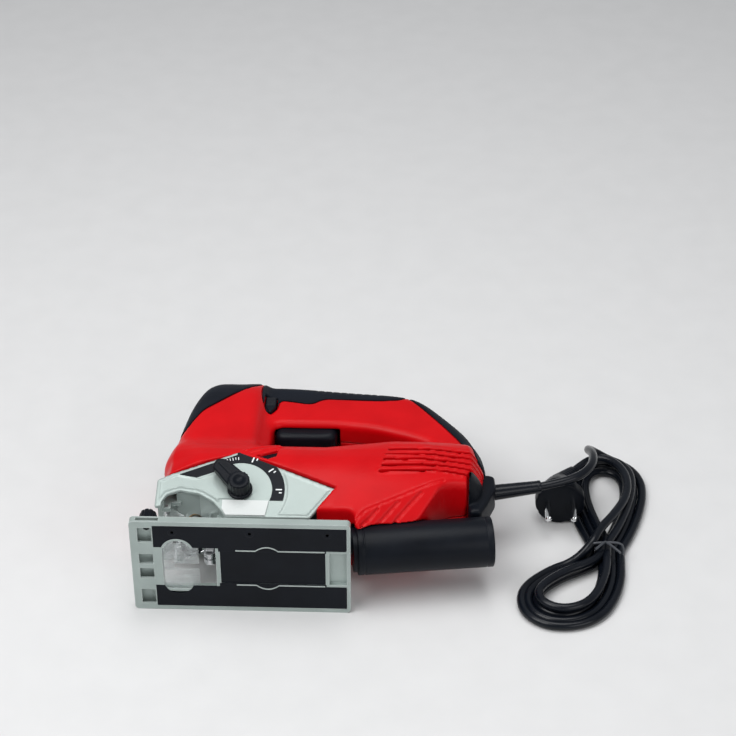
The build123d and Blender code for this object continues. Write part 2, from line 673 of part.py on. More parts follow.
# ---- shoe ----
RIM_WALL = 3.5
THREAD_R = 2.45
saddle_u0, saddle_u1 = SADDLE_U
gate_u0, gate_u1, gate_w = BLADE_GATE
slot_u0, slot_u1, slot_v0, slot_v1 = FENCE_SLOT
SHOE_HALF = HALF_WIDTH
FRONT_BLOCK_U = 21.9
FRONT_BLOCK_V = 6.5
with BuildPart() as shoe:
    with BuildSketch(level(0, SHOE_LENGTH / 2)):
        RectangleRounded(2 * SHOE_HALF, SHOE_LENGTH, 3)
    extrude(amount=SHOE_RIM)
    # hollow under the plate, inside the rim
    hollow_low = (FRONT_BLOCK_U, -1, -SHOE_HALF + RIM_WALL)
    hollow_high = (SHOE_LENGTH - 2.5, SHOE_RIM - SHOE_SKIN, SHOE_HALF - RIM_WALL)
    add(box(hollow_low, hollow_high), mode=Mode.SUBTRACT)
    add(box((0.6, 0, -SHOE_HALF + 3), (FRONT_BLOCK_U, FRONT_BLOCK_V, SHOE_HALF - 3)))
    # ribs along the blade's opening and the centre recess
    for sign in (-1, 1):
        low, high = sorted((sign * 14.6, sign * 16.8))
        add(box((gate_u1, 0, low), (SHOE_LENGTH - 2, SHOE_RIM - 1, high)))
        low, high = sorted((sign * gate_w, sign * (gate_w + 2.5)))
        add(box((FRONT_BLOCK_U, 0, low), (gate_u1 + 3, SHOE_RIM - 1, high)))
    add(box((gate_u1, 0, -gate_w), (gate_u1 + 3, SHOE_RIM - 1, gate_w)))
    add(box((136.5, 0, -15), (139, SHOE_RIM - 1, 15)))
    # round bump of the opening beside the blade, with its own rib
    add(bar(level(0, 32.6, gate_w - 4), 10.3, SHOE_RIM - 1))
    add(bar(level(-1, 32.6, gate_w - 4), 9.0, 12), mode=Mode.SUBTRACT)
    add(box((gate_u0, -1, -gate_w), (gate_u1, 12, gate_w)), mode=Mode.SUBTRACT)
    # fence tunnel and the windows in the sole
    add(box((slot_u0, slot_v0, -50), (slot_u1, slot_v1, 50)), mode=Mode.SUBTRACT)
    for sign in (-1, 1):
        for w0, w1 in ((2, 11), (21.5, 34.5)):
            low, high = sorted((sign * w0, sign * w1))
            add(box((5.5, -1, low), (15.5, 4, high)), mode=Mode.SUBTRACT)
    # thread for the guide clamp knob
    add(bar(level(4, *GUIDE_KNOB), THREAD_R + RUNNING, 10), mode=Mode.SUBTRACT)
    # room for the saddle
    add(box((saddle_u0 + 3, -1, -14), (saddle_u1, 12, 14)), mode=Mode.SUBTRACT)
    add(bar(front(saddle_u0 + 3, BEVEL_V), SADDLE_R, saddle_u1 - saddle_u0 - 3), mode=Mode.SUBTRACT)
save(shoe, "shoe")

with BuildPart() as bevel_bracket:
    depth = saddle_u1 - saddle_u0 - 3
    ring_plane = front(saddle_u0 + 3, BEVEL_V)
    add(bar(ring_plane, SADDLE_R, depth, SADDLE_R - SADDLE_WALL))
    add(box((saddle_u0, -30, -30), (saddle_u1 + 5, 1.2, 30)), mode=Mode.SUBTRACT)
    # two slots that let the clamp screws pass at any tilt
    for u in BEVEL_SCREW_U:
        wedge = [(BEVEL_V, 0), (BEVEL_V + 20, -30), (BEVEL_V + 20, 30)]
        add(prism(front(u - 2.4), wedge, 4.8), mode=Mode.SUBTRACT)
save(bevel_bracket, "bevel_bracket")

with BuildPart() as bevel_screws:
    for u in BEVEL_SCREW_U:
        add(bar(level(13.4, u), 3.6, 2.6))
        add(bar(level(15, u), 1.95, 8.5))
        with BuildSketch(level(13.0, u)):
            RegularPolygon(1.8, 6)
        extrude(amount=1.8, mode=Mode.SUBTRACT)
save(bevel_screws, "bevel_screws")

PAD_V = (0.2, 3.0)
with BuildPart() as sole_pads:
    for sign in (-1, 1):
        low, high = sorted((sign * 17.1, sign * 36.2))
        pad = box((FRONT_BLOCK_U + 1, PAD_V[0], low), (SHOE_LENGTH - 3, PAD_V[1], high))
        low, high = sorted((sign * 10, sign * (gate_w + 2.8)))
        gate_corner = box((0, -1, low), (gate_u1 + 3.3, 4, high))
        bump = bar(level(-1, 32.6, sign * (gate_w - 4)), 10.5, 6)
        saddle = bar(front(saddle_u0 + 2.7, BEVEL_V), SADDLE_R + GAP, saddle_u1 - saddle_u0)
        add(cut(pad, gate_corner, bump, saddle))
    # the pad between the ribs, a little deeper
    add(box((gate_u1 + 3.3, 0.8, -13.6), (136.2, 2.4, 13.6)))
save(sole_pads, "sole_pads")

with BuildPart() as splinter_insert:
    add(box((gate_u0, 0.2, -gate_w), (47.5, 2.0, gate_w)))
    add(box((30, -1, -2.6), (60, 5, 2.6)), mode=Mode.SUBTRACT)
    add(box((32.5, 1.2, -9), (60, 5, 9)), mode=Mode.SUBTRACT)
save(splinter_insert, "splinter_insert")

with BuildPart() as guide_knob:
    add(bar(level(4.9, *GUIDE_KNOB), THREAD_R, 5))
    with BuildSketch(level(9.0, *GUIDE_KNOB)):
        Circle(6.2)
        with PolarLocations(6.4, 10):
            Circle(0.9, mode=Mode.SUBTRACT)
    extrude(amount=10.5)
save(guide_knob, "guide_knob")

# ---- handle: trigger, switch, lock button, speed dial ----
TRIGGER_SIDE = [
    (91, 158.5), (91, 143), (95, 139), (104, 137.5), (128, 137.5), (136, 139.5), (138.5, 144),
    (138.5, 158.5),
]
with BuildPart() as trigger:
    add(prism(side(-TRIGGER_HALF), TRIGGER_SIDE, 2 * TRIGGER_HALF))
    room = box((96, 141, -9), (135, 170, 9))
    add(room, mode=Mode.SUBTRACT)
    add(bar(side(-20, *TRIGGER_PIVOT), PIN_R + RUNNING, 40), mode=Mode.SUBTRACT)
save(trigger, "trigger")

with BuildPart() as power_switch:
    add(box((101, 165.5, -8), (133, 184, 8)))
    add(bar(level(161, 117), 2.5, 6))
save(power_switch, "power_switch")

with BuildPart() as suppression_capacitor:
    add(box((160, 150, -7), (176, 163, 7)))
save(suppression_capacitor, "suppression_capacitor")

with BuildPart() as speed_board:
    add(box((186, 150, -9), (188, 176, 9)))
    add(box((188, 156, -5), (192, 164, 5)))
save(speed_board, "speed_board")

with BuildPart() as speed_dial:
    with BuildSketch(side(-DIAL_WIDTH / 2, *DIAL_UV)):
        Circle(DIAL_R)
        Circle(PIN_R + RUNNING, mode=Mode.SUBTRACT)
        with PolarLocations(DIAL_R + 0.3, 30):
            Circle(0.6, mode=Mode.SUBTRACT)
    extrude(amount=DIAL_WIDTH)
save(speed_dial, "speed_dial")

BUTTON_TRAVEL = 3.0
with BuildPart() as lock_button:
    b0, b1 = BUTTON
    mid = (b0 + b1) / 2
    face = [(b0, 178), (b1, 178), (b1, 166), (mid + 1, 159), (mid - 1, 159), (b0, 166)]
    add(prism(side(12.5), face, 7.5))
    add(bar(side(9.5, mid, 171), 2.5, 4))
save(lock_button, "lock_button")

# ---- orbit selector, square to the sloping flank ----
LEVER_TIP = (-17.0, 19.0)
with BuildPart() as orbit_selector:
    add(bar(knob_plane(-3.4), SELECTOR_SHAFT_R, 5))
    add(bar(knob_plane(0.9), 9.0, 3))
    with BuildSketch(knob_plane(1.0)):
        RegularPolygon(7.6, 12)
    extrude(amount=13)
    with BuildSketch(knob_plane(3.5)):
        with BuildLine():
            tip_u, tip_v = LEVER_TIP
            Polyline(
                (-5.5, -3.5), (tip_u - 3.6, tip_v - 3.0), (tip_u, tip_v + 2.2),
                (tip_u + 4.6, tip_v + 1.2), (5.0, 5.0), close=True,
            )
        make_face()
    extrude(amount=6.5)
save(orbit_selector, "orbit_selector")

# ---- dust path ----
with BuildPart() as dust_duct:
    spigot_r = TUBE_R - TUBE_WALL - GAP
    add(bar(front(84, DUCT_V), DUCT_R, 73))
    add(bar(tube_plane(-GAP), TUBE_R + 6, 10, spigot_r), mode=Mode.SUBTRACT)
    add(bar(tube_plane(-3), spigot_r, 34))
    add(bar(front(80, DUCT_V), DUCT_R - 1.5, 73.5), mode=Mode.SUBTRACT)
    add(bar(tube_plane(-1.6), spigot_r - 1.8, 40), mode=Mode.SUBTRACT)
    passage = bar(front(80, DUCT_V), DUCT_R - 1.5, 80)
    add(common(passage, bar(tube_plane(-20), spigot_r - 1.8, 60)), mode=Mode.SUBTRACT)
save(dust_duct, "dust_duct")

TUBE_LENGTH = LENGTH - TUBE_FRONT_U - TUBE_R * math.sin(math.radians(TUBE_TILT))
TUBE_LENGTH /= math.cos(math.radians(TUBE_TILT))
HOSE_SEAT = 40.0
with BuildPart() as dust_tube:
    add(bar(tube_plane(0), TUBE_R, TUBE_LENGTH, TUBE_R - TUBE_WALL))
    seat = bar(tube_plane(TUBE_LENGTH - HOSE_SEAT), TUBE_R - 1.6, HOSE_SEAT + 1)
    add(seat, mode=Mode.SUBTRACT)
save(dust_tube, "dust_tube")

# ---- mains lead ----
relief_axis_length = (
    Vector(*row_point(*CORD_ROUTE[0])) - Vector(*row_point(*RELIEF_START))
).length
with BuildPart() as strain_relief:
    with BuildSketch(relief_plane(-14)):
        Circle(6.8)
    with BuildSketch(relief_plane(-4)):
        Circle(6.5)
    loft()
    with BuildSketch(relief_plane(-4)):
        Circle(6.5)
    with BuildSketch(relief_plane(relief_axis_length)):
        Circle(4.4)
    loft()
save(strain_relief, "strain_relief")

with BuildPart() as cord_clamp:
    add(box((206, 88, -9), (228, 93, 9)))
    add(bar(front(200, 96), CORD_R + 0.2, 40), mode=Mode.SUBTRACT)
save(cord_clamp, "cord_clamp")


def route_radii(points):
    """An arc for each corner: 0.45 of the shorter run over the tangent of half the turn."""
    radii = []
    for a, b, c in zip(points, points[1:], points[2:]):
        first, second = Vector(*b) - Vector(*a), Vector(*c) - Vector(*b)
        half_turn = math.radians(first.get_angle(second)) / 2
        radii.append(0.45 * min(first.length, second.length) / math.tan(half_turn))
    return radii


lead_points = [row_point(*point) for point in CORD_ROUTE]
lead_radii = route_radii(lead_points)
with BuildPart() as cord:
    with BuildLine() as lead:
        FilletPolyline(*lead_points, radius=lead_radii)
    with BuildSketch(relief_plane(relief_axis_length)):
        Circle(CORD_R)
    sweep(path=lead.line)
save(cord, "cord")
lead_length = sum(edge.length for edge in lead.edges())
print("lead radii", [round(r, 1) for r in lead_radii], "length", round(lead_length, 1))
volume_ratio = cord.part.volume / (math.pi * CORD_R**2 * lead_length)
print("tube volume over section times length", round(volume_ratio, 4))

# the hank: a long winding drawn in at its waist by a tie
HANK_OUTLINE = [
    (347, 64), (354, 85), (368, 118), (376, 150), (372, 175), (356, 187), (340, 183),
    (324, 165), (318, 148), (322, 125), (329, 98), (329, 67), (311, 56), (285, 38),
    (270, 18), (272, -4), (288, -18), (312, -20), (334, -6), (345, 18), (347, 42),
]
UPPER_HOLE = [(344, 100), (358, 130), (360, 155), (350, 170), (338, 162), (334, 140), (337, 115)]
LOWER_HOLE = [(330, 44), (331, 18), (318, 2), (300, 0), (288, 14), (304, 32)]


def floor_plane(height=0.0):
    """Level with the floor, at a height over it: local x is u, local y is v."""
    return Plane(origin=row_point(0, 0, height))


with BuildPart() as cord_hank:
    add(prism(floor_plane(), HANK_OUTLINE, HANK_HEIGHT, radius=3.0))
    for hole in (UPPER_HOLE, LOWER_HOLE):
        add(prism(floor_plane(-1), hole, HANK_HEIGHT + 2, radius=5.0), mode=Mode.SUBTRACT)
    waist = row_point(338, 61, TIE_HEIGHT)
    waist_plane = Plane(origin=waist, x_dir=(1, 0, 0), z_dir=(0, 1, 0))
    add(bar(waist_plane, 40, 6, TIE_R), mode=Mode.SUBTRACT)
save(cord_hank, "cord_hank")

with BuildPart() as twist_tie:
    add(bar(waist_plane.offset(1), TIE_R + 0.8, 4, TIE_R))
save(twist_tie, "twist_tie")

# ---- plug, lying on its side with its pins towards the sole end ----
PLUG_PIN_PITCH = 19.0
PLUG_PIN_R = 2.4
PLUG_PIN_LENGTH = 19.0
PLUG_DEPTH = 26.0
plug_front = Plane(origin=row_point(PLUG_U, PLUG_FACE_V, PLUG_R), x_dir=(1, 0, 0), z_dir=(0, 1, 0))
with BuildPart() as plug_body:
    with BuildSketch(plug_front):
        Circle(PLUG_R)
    with BuildSketch(plug_front.offset(9)):
        Circle(PLUG_R)
    loft()
    with BuildSketch(plug_front.offset(9)):
        Circle(PLUG_R)
    with BuildSketch(plug_front.offset(PLUG_DEPTH)):
        Circle(9.0)
    loft()
    with BuildSketch(plug_front.offset(PLUG_DEPTH)):
        Circle(6.0)
    tail_end = Vector(*row_point(319.5, 153.0, 12.0))
    tail_start = plug_front.origin + Vector(0, PLUG_DEPTH, 0)
    with BuildSketch(Plane(origin=tail_end, x_dir=(1, 0, 0), z_dir=tail_end - tail_start)):
        Circle(4.3)
    loft()
save(plug_body, "plug_body")

with BuildPart() as plug_pins:
    for sign in (-1, 1):
        foot = row_point(PLUG_U + sign * PLUG_PIN_PITCH / 2, PLUG_FACE_V, PLUG_R)
        pin_plane = Plane(origin=foot, x_dir=(1, 0, 0), z_dir=(0, -1, 0))
        add(bar(pin_plane, PLUG_PIN_R, PLUG_PIN_LENGTH))
    chamfer(plug_pins.faces().group_by(Axis.Y)[0].edges(), 1.0)
save(plug_pins, "plug_pins")
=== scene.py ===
import json
import math

import bmesh
import bpy
import numpy as np
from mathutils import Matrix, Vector


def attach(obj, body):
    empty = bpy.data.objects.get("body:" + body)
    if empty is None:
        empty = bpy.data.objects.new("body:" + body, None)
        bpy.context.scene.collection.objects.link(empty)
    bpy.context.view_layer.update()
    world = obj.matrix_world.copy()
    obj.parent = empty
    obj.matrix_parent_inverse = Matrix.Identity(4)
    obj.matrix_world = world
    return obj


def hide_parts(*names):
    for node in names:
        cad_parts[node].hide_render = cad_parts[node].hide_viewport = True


# A corded jigsaw lying on its right side. Its moulded forms are distance fields in the
# tool's own coordinates: u back from the shoe's front, v up from the sole and w to the
# tool's left, in millimetres. ORIGIN takes them to the row frame.
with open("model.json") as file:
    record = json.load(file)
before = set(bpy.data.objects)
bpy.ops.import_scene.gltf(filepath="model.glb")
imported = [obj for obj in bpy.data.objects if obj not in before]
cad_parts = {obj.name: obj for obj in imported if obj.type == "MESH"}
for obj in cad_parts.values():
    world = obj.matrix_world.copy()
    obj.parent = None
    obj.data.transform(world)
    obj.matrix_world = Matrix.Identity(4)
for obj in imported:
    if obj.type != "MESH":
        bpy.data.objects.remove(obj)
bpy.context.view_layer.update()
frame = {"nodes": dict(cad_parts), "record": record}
MM = 0.001
ORIGIN = np.array([-128.0, -101.0, 40.0])


def place(u, v, w=0.0):
    """A point of the tool, in metres in the row frame."""
    return Vector(((u + ORIGIN[0]) * MM, (v + ORIGIN[1]) * MM, (w + ORIGIN[2]) * MM))


def lying(u, v, height):
    """A point over the floor, in metres in the row frame."""
    return Vector(((u + ORIGIN[0]) * MM, (v + ORIGIN[1]) * MM, height * MM))


# ---- materials ----
def material(name, color, rough, metallic=0.0, bump=0.15, grain=900.0, vary=0.12, coat=0.0,
             wear=0.0, sheen=0.0, transmission=0.0, alpha=1.0, stretch=(1, 1, 1), cells=False,
             spot=(0.6, 0.6, 0.6), specular=0.5):
    """A procedural finish: uneven colour, fine grain, worn edges and cloudy roughness."""
    mat = bpy.data.materials.new(name)
    mat["slot"] = name
    mat.use_nodes = True
    tree = mat.node_tree
    nodes, links = tree.nodes, tree.links
    shader = nodes["Principled BSDF"]
    coords = nodes.new("ShaderNodeTexCoord")
    mapping = nodes.new("ShaderNodeMapping")
    mapping.inputs["Scale"].default_value = stretch
    links.new(coords.outputs["Object"], mapping.inputs["Vector"])
    cloud = nodes.new("ShaderNodeTexNoise")
    cloud.inputs["Scale"].default_value = 38.0
    cloud.inputs["Detail"].default_value = 6.0
    links.new(mapping.outputs["Vector"], cloud.inputs["Vector"])
    if cells:
        fine = nodes.new("ShaderNodeTexVoronoi")
        fine_out = fine.outputs["Distance"]
    else:
        fine = nodes.new("ShaderNodeTexNoise")
        fine.inputs["Detail"].default_value = 3.0
        fine_out = fine.outputs["Fac"]
    fine.inputs["Scale"].default_value = grain
    links.new(mapping.outputs["Vector"], fine.inputs["Vector"])
    ramp = nodes.new("ShaderNodeValToRGB")
    dark = [c * (1.0 - vary) for c in color]
    light = [min(1.0, c * (1.0 + vary) + 0.0008) for c in color]
    ramp.color_ramp.elements[0].position = 0.3
    ramp.color_ramp.elements[0].color = (*dark, 1)
    ramp.color_ramp.elements[1].position = 0.7
    ramp.color_ramp.elements[1].color = (*light, 1)
    links.new(cloud.outputs["Fac"], ramp.inputs["Fac"])
    color_out = ramp.outputs["Color"]
    if wear > 0.0:
        edge = nodes.new("ShaderNodeBevel")
        edge.samples = 4
        edge.inputs["Radius"].default_value = 0.0006
        geometry = nodes.new("ShaderNodeNewGeometry")
        dot = nodes.new("ShaderNodeVectorMath")
        dot.operation = "DOT_PRODUCT"
        links.new(edge.outputs["Normal"], dot.inputs[0])
        links.new(geometry.outputs["Normal"], dot.inputs[1])
        worn = nodes.new("ShaderNodeMapRange")
        worn.inputs["From Min"].default_value = 0.995
        worn.inputs["From Max"].default_value = 0.93
        worn.inputs["To Max"].default_value = wear
        links.new(dot.outputs["Value"], worn.inputs["Value"])
        mix = nodes.new("ShaderNodeMixRGB")
        mix.inputs["Color2"].default_value = (*spot, 1)
        links.new(worn.outputs["Result"], mix.inputs["Fac"])
        links.new(color_out, mix.inputs["Color1"])
        color_out = mix.outputs["Color"]
    links.new(color_out, shader.inputs["Base Color"])
    shine = nodes.new("ShaderNodeMapRange")
    shine.inputs["To Min"].default_value = max(0.03, rough * 0.8)
    shine.inputs["To Max"].default_value = min(1.0, rough * 1.25)
    links.new(cloud.outputs["Fac"], shine.inputs["Value"])
    links.new(shine.outputs["Result"], shader.inputs["Roughness"])
    relief = nodes.new("ShaderNodeBump")
    relief.inputs["Strength"].default_value = bump
    relief.inputs["Distance"].default_value = 0.0002
    links.new(fine_out, relief.inputs["Height"])
    links.new(relief.outputs["Normal"], shader.inputs["Normal"])
    shader.inputs["Metallic"].default_value = metallic
    shader.inputs["Specular IOR Level"].default_value = specular
    shader.inputs["Coat Weight"].default_value = coat
    shader.inputs["Coat Roughness"].default_value = 0.12
    shader.inputs["Sheen Weight"].default_value = sheen
    shader.inputs["Transmission Weight"].default_value = transmission
    shader.inputs["Alpha"].default_value = alpha
    return mat


RED = material("housing_red", (0.54, 0.0008, 0.0035), 0.36, bump=0.10, grain=1500, vary=0.07,
               coat=0.02, wear=0.2, spot=(0.80, 0.06, 0.05), specular=0.14)
GRIP = material("soft_grip", (0.005, 0.007, 0.012), 0.62, bump=0.45, grain=1300, vary=0.25,
                sheen=0.05, cells=True, wear=0.2, spot=(0.03, 0.034, 0.04), specular=0.09)
BLACK = material("black_plastic", (0.004, 0.0055, 0.009), 0.38, bump=0.22, grain=1700, vary=0.2,
                 wear=0.3, spot=(0.03, 0.034, 0.042), specular=0.13)
CAST = material("cast_grey", (0.36, 0.42, 0.40), 0.42, metallic=0.35, bump=0.35, grain=1100,
                vary=0.07, wear=0.6, spot=(0.78, 0.82, 0.81))
WHITE = material("pale_bracket", (0.62, 0.65, 0.64), 0.38, bump=0.12, grain=900, vary=0.04,
                 wear=0.3, spot=(0.95, 0.95, 0.95))
STEEL = material("steel", (0.52, 0.53, 0.54), 0.28, metallic=1.0, bump=0.12, grain=700, vary=0.1,
                 stretch=(1, 1, 8), wear=0.4, spot=(0.85, 0.85, 0.85))
PIN = material("bright_pin", (0.78, 0.79, 0.80), 0.14, metallic=1.0, bump=0.05, grain=600,
               vary=0.05, stretch=(1, 6, 1))
COPPER = material("copper", (0.72, 0.32, 0.14), 0.34, metallic=0.9, bump=0.6, grain=420, vary=0.2,
                  stretch=(12, 1, 1))
LAMINATION = material("lamination", (0.20, 0.20, 0.21), 0.5, metallic=0.8, bump=0.7, grain=300,
                      vary=0.2, stretch=(14, 1, 1))
CARBON = material("carbon", (0.03, 0.03, 0.033), 0.55, bump=0.3, grain=1500, vary=0.3)
CLEAR = material("clear_plastic", (0.88, 0.93, 0.93), 0.06, bump=0.03, grain=200, vary=0.02,
                 transmission=0.85, alpha=0.34)
PALE = material("pale_plastic", (0.74, 0.80, 0.80), 0.12, bump=0.05, grain=300, vary=0.05,
                transmission=0.8, alpha=0.45)
CORD = material("cord_black", (0.003, 0.0045, 0.008), 0.26, bump=0.08, grain=500, vary=0.2,
                coat=0.10, specular=0.2)
TIE = material("tie_white", (0.05, 0.055, 0.065), 0.35, bump=0.2, grain=600, vary=0.1)
BRONZE = material("bronze", (0.50, 0.33, 0.15), 0.42, metallic=0.9, bump=0.5, grain=1300, vary=0.2)
BOARD = material("board_green", (0.02, 0.16, 0.06), 0.4, bump=0.3, grain=500, vary=0.3)
INK = material("print_white", (0.75, 0.78, 0.78), 0.5, bump=0.08, grain=1500, vary=0.05)
FLOOR = material("studio_floor", (0.66, 0.66, 0.66), 0.8, bump=0.05, grain=60, vary=0.015)

FINISHES = {m["slot"]: m for m in (RED, GRIP, BLACK, CAST, WHITE, STEEL, PIN, COPPER, LAMINATION,
                                   CARBON, CLEAR, PALE, CORD, TIE, BRONZE, BOARD)}
slot_of = {s["node"]: s["material_slot"] for s in frame["record"]["subparts"]}
SMALL_EDGE = 0.0005
for name, node in frame["nodes"].items():
    node.data.materials.clear()
    node.data.materials.append(FINISHES[slot_of[name]])
    edge = node.modifiers.new("edge", "BEVEL")
    edge.width = SMALL_EDGE
    edge.segments = 2
    edge.limit_method = "ANGLE"
    edge.angle_limit = math.radians(35)
    edge.use_clamp_overlap = True
    soft = node.modifiers.new("shade", "WEIGHTED_NORMAL")
    soft.keep_sharp = True
    for polygon in node.data.polygons:
        polygon.use_smooth = True


# ---- meshes ----
def mesh_object(name, vertices, faces, finish, body="root", smooth=True):
    """A mesh piece from points in the row frame, riding on a body."""
    mesh = bpy.data.meshes.new(name)
    mesh.from_pydata([tuple(p) for p in vertices], [], [tuple(f) for f in faces])
    mesh.validate()
    mesh.materials.append(finish)
    obj = bpy.data.objects.new(name, mesh)
    bpy.context.scene.collection.objects.link(obj)
    if smooth:
        for polygon in mesh.polygons:
            polygon.use_smooth = True
    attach(obj, body)
    return obj


def lathe(name, origin, axis, profile, finish, body="root", steps=64, flutes=0, depth=0.0):
    """A turned piece: profile pairs are (distance along the axis, radius), in millimetres."""
    axis = Vector(axis).normalized()
    across = axis.orthogonal().normalized()
    other = axis.cross(across)
    vertices, faces = [], []
    for along, radius in profile:
        for n in range(steps):
            turn = 2 * math.pi * n / steps
            ripple = depth * max(0.0, math.cos(flutes * turn)) ** 2 if flutes else 0.0
            reach = max(0.0, radius - (ripple if radius > depth * 4 else 0.0)) * MM
            point = origin + axis * along * MM
            vertices.append(point + across * math.cos(turn) * reach + other * math.sin(turn) * reach)
    rings = len(profile)
    for ring in range(rings):
        nxt = (ring + 1) % rings
        for n in range(steps):
            m = (n + 1) % steps
            faces.append((ring * steps + n, nxt * steps + n, nxt * steps + m, ring * steps + m))
    obj = mesh_object(name, vertices, faces, finish, body)
    clean = bmesh.new()
    clean.from_mesh(obj.data)
    bmesh.ops.remove_doubles(clean, verts=clean.verts, dist=0.00001)
    bmesh.ops.recalc_face_normals(clean, faces=clean.faces)
    clean.to_mesh(obj.data)
    clean.free()
    for polygon in obj.data.polygons:
        polygon.use_smooth = True
    edge = obj.modifiers.new("edge", "BEVEL")
    edge.width = 0.0005
    edge.segments = 3
    edge.limit_method = "ANGLE"
    edge.angle_limit = math.radians(30)
    return obj


# ---- distance fields ----
def line_distance(x, y, points, closed=True):
    """Distance to a line of points, and whether each place is inside it."""
    best = np.full(x.shape, 1e9)
    inside = np.zeros(x.shape, bool)
    points = np.array(points, float)
    ends = np.roll(points, -1, axis=0) if closed else points[1:]
    starts = points if closed else points[:-1]
    for (ax, ay), (bx, by) in zip(starts, ends):
        ex, ey = bx - ax, by - ay
        t = np.clip(((x - ax) * ex + (y - ay) * ey) / (ex * ex + ey * ey + 1e-12), 0, 1)
        best = np.minimum(best, np.hypot(x - ax - t * ex, y - ay - t * ey))
        crosses = (ay > y) != (by > y)
        with np.errstate(divide="ignore", invalid="ignore"):
            at_x = ax + (y - ay) * ex / (ey if abs(ey) > 1e-12 else 1e-12)
        inside ^= crosses & (x < at_x)
    return best, inside


def area(x, y, points):
    """Signed distance to a closed outline: negative inside."""
    best, inside = line_distance(x, y, points)
    return np.where(inside, -best, best)


def stroke(x, y, points, width):
    """Signed distance to a drawn line of a width."""
    return line_distance(x, y, points, closed=False)[0] - width / 2


def smin(a, b, k):
    """The union of two fields, blended over a width k."""
    h = np.maximum(k - np.abs(a - b), 0.0) / k
    return np.minimum(a, b) - h * h * k * 0.25


def smax(a, b, k):
    """The overlap of two fields, blended over a width k."""
    return -smin(-a, -b, k)


def raised(flat, w, half, radius):
    """A flat outline's distance, made solid from -half to half, with rounded edges."""
    a, b = flat + radius, np.abs(w) - half + radius
    return np.minimum(np.maximum(a, b), 0) + np.hypot(np.maximum(a, 0), np.maximum(b, 0)) - radius


def carve(field, flat, depth):
    """Cuts a flat shape into a form's surface to a depth."""
    return np.maximum(field, -np.maximum(flat, -field - depth))


def emboss(field, flat, height):
    """Raises a flat shape over a form's surface by a height."""
    return np.minimum(field, np.maximum(flat, field - height))


class Grid:
    """Regular places in u, v and w."""

    def __init__(self, low, high, step):
        self.low, self.step = np.array(low, float), step
        self.axes = [np.arange(a, b + step, step) for a, b in zip(low, high)]
        self.u = self.axes[0][:, None, None]
        self.v = self.axes[1][None, :, None]
        self.w = self.axes[2][None, None, :]
        self.uv = np.meshgrid(self.axes[0], self.axes[1], indexing="ij")
        self.vw = np.meshgrid(self.axes[1], self.axes[2], indexing="ij")
        self.uw = np.meshgrid(self.axes[0], self.axes[2], indexing="ij")

    def side(self, points):
        """An outline seen from the tool's side."""
        return area(*self.uv, points)[:, :, None]

    def line(self, points, width):
        """A drawn line seen from the tool's side."""
        return stroke(*self.uv, points, width)[:, :, None]


def surface(grid, field):
    """Surface nets: one point in each cell that the surface crosses, joined by quads."""
    field = np.broadcast_to(field, [len(a) for a in grid.axes]).astype(np.float32)
    inside = field < 0
    shape = np.array(field.shape) - 1
    total = np.zeros(tuple(shape) + (3,), np.float32)
    count = np.zeros(tuple(shape), np.int32)
    corners = [(i, j, k) for i in (0, 1) for j in (0, 1) for k in (0, 1)]

    def corner(array, offset):
        i, j, k = offset
        return array[i:i + shape[0], j:j + shape[1], k:k + shape[2]]

    for a in corners:
        for axis in range(3):
            if a[axis]:
                continue
            b = tuple(1 if n == axis else a[n] for n in range(3))
            fa, fb = corner(field, a), corner(field, b)
            crossed = corner(inside, a) != corner(inside, b)
            share = np.where(crossed, fa / np.where(crossed, fa - fb, 1.0), 0.0)
            count += crossed
            for n in range(3):
                value = share if n == axis else float(a[n])
                total[..., n] += np.where(crossed, value, 0.0)
    used = count > 0
    index = -np.ones(tuple(shape), np.int64)
    index[used] = np.arange(used.sum())
    cells = np.argwhere(used)
    points = grid.low + (cells + total[used] / count[used][:, None]) * grid.step
    quads = []
    for axis in range(3):
        first = [slice(None)] * 3
        second = [slice(None)] * 3
        first[axis], second[axis] = slice(0, -1), slice(1, None)
        crossed = inside[tuple(first)] != inside[tuple(second)]
        places = np.argwhere(crossed)
        others = [n for n in range(3) if n != axis]
        keep = np.all([(places[:, n] > 0) & (places[:, n] < field.shape[n] - 1) for n in others], 0)
        places = places[keep]
        ring = []
        for da, db in ((0, 0), (1, 0), (1, 1), (0, 1)):
            cell = places.copy()
            cell[:, others[0]] -= da
            cell[:, others[1]] -= db
            ring.append(index[cell[:, 0], cell[:, 1], cell[:, 2]])
        ring = np.stack(ring, 1)
        flip = inside[tuple(first)][crossed][keep]
        if axis == 1:
            flip = ~flip
        ring[~flip] = ring[~flip][:, ::-1]
        quads.append(ring)
    return points, np.concatenate(quads)


def field_object(name, grid, field, finish, body="root", to_row=None, node=None):
    """The surface of a field as a piece."""
    points, quads = surface(grid, field)
    if to_row is None:
        points = (points + ORIGIN) * MM
    else:
        points = to_row(points)
    obj = mesh_object(name, points, quads, finish, body)
    if node:
        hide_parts(node)
    return obj


def rounded_corners(points, radius, steps=6):
    """An outline with each corner turned into a curve of about the radius."""
    points = [np.array(p, float) for p in points]
    out = []
    for n, corner in enumerate(points):
        before, after = points[n - 1], points[(n + 1) % len(points)]
        for t in range(steps + 1):
            s = t / steps
            r0 = min(radius, 0.48 * np.linalg.norm(before - corner))
            r1 = min(radius, 0.48 * np.linalg.norm(after - corner))
            a = corner + (before - corner) / np.linalg.norm(before - corner) * r0
            b = corner + (after - corner) / np.linalg.norm(after - corner) * r1
            out.append((1 - s) ** 2 * a + 2 * s * (1 - s) * corner + s * s * b)
    return np.array(out)


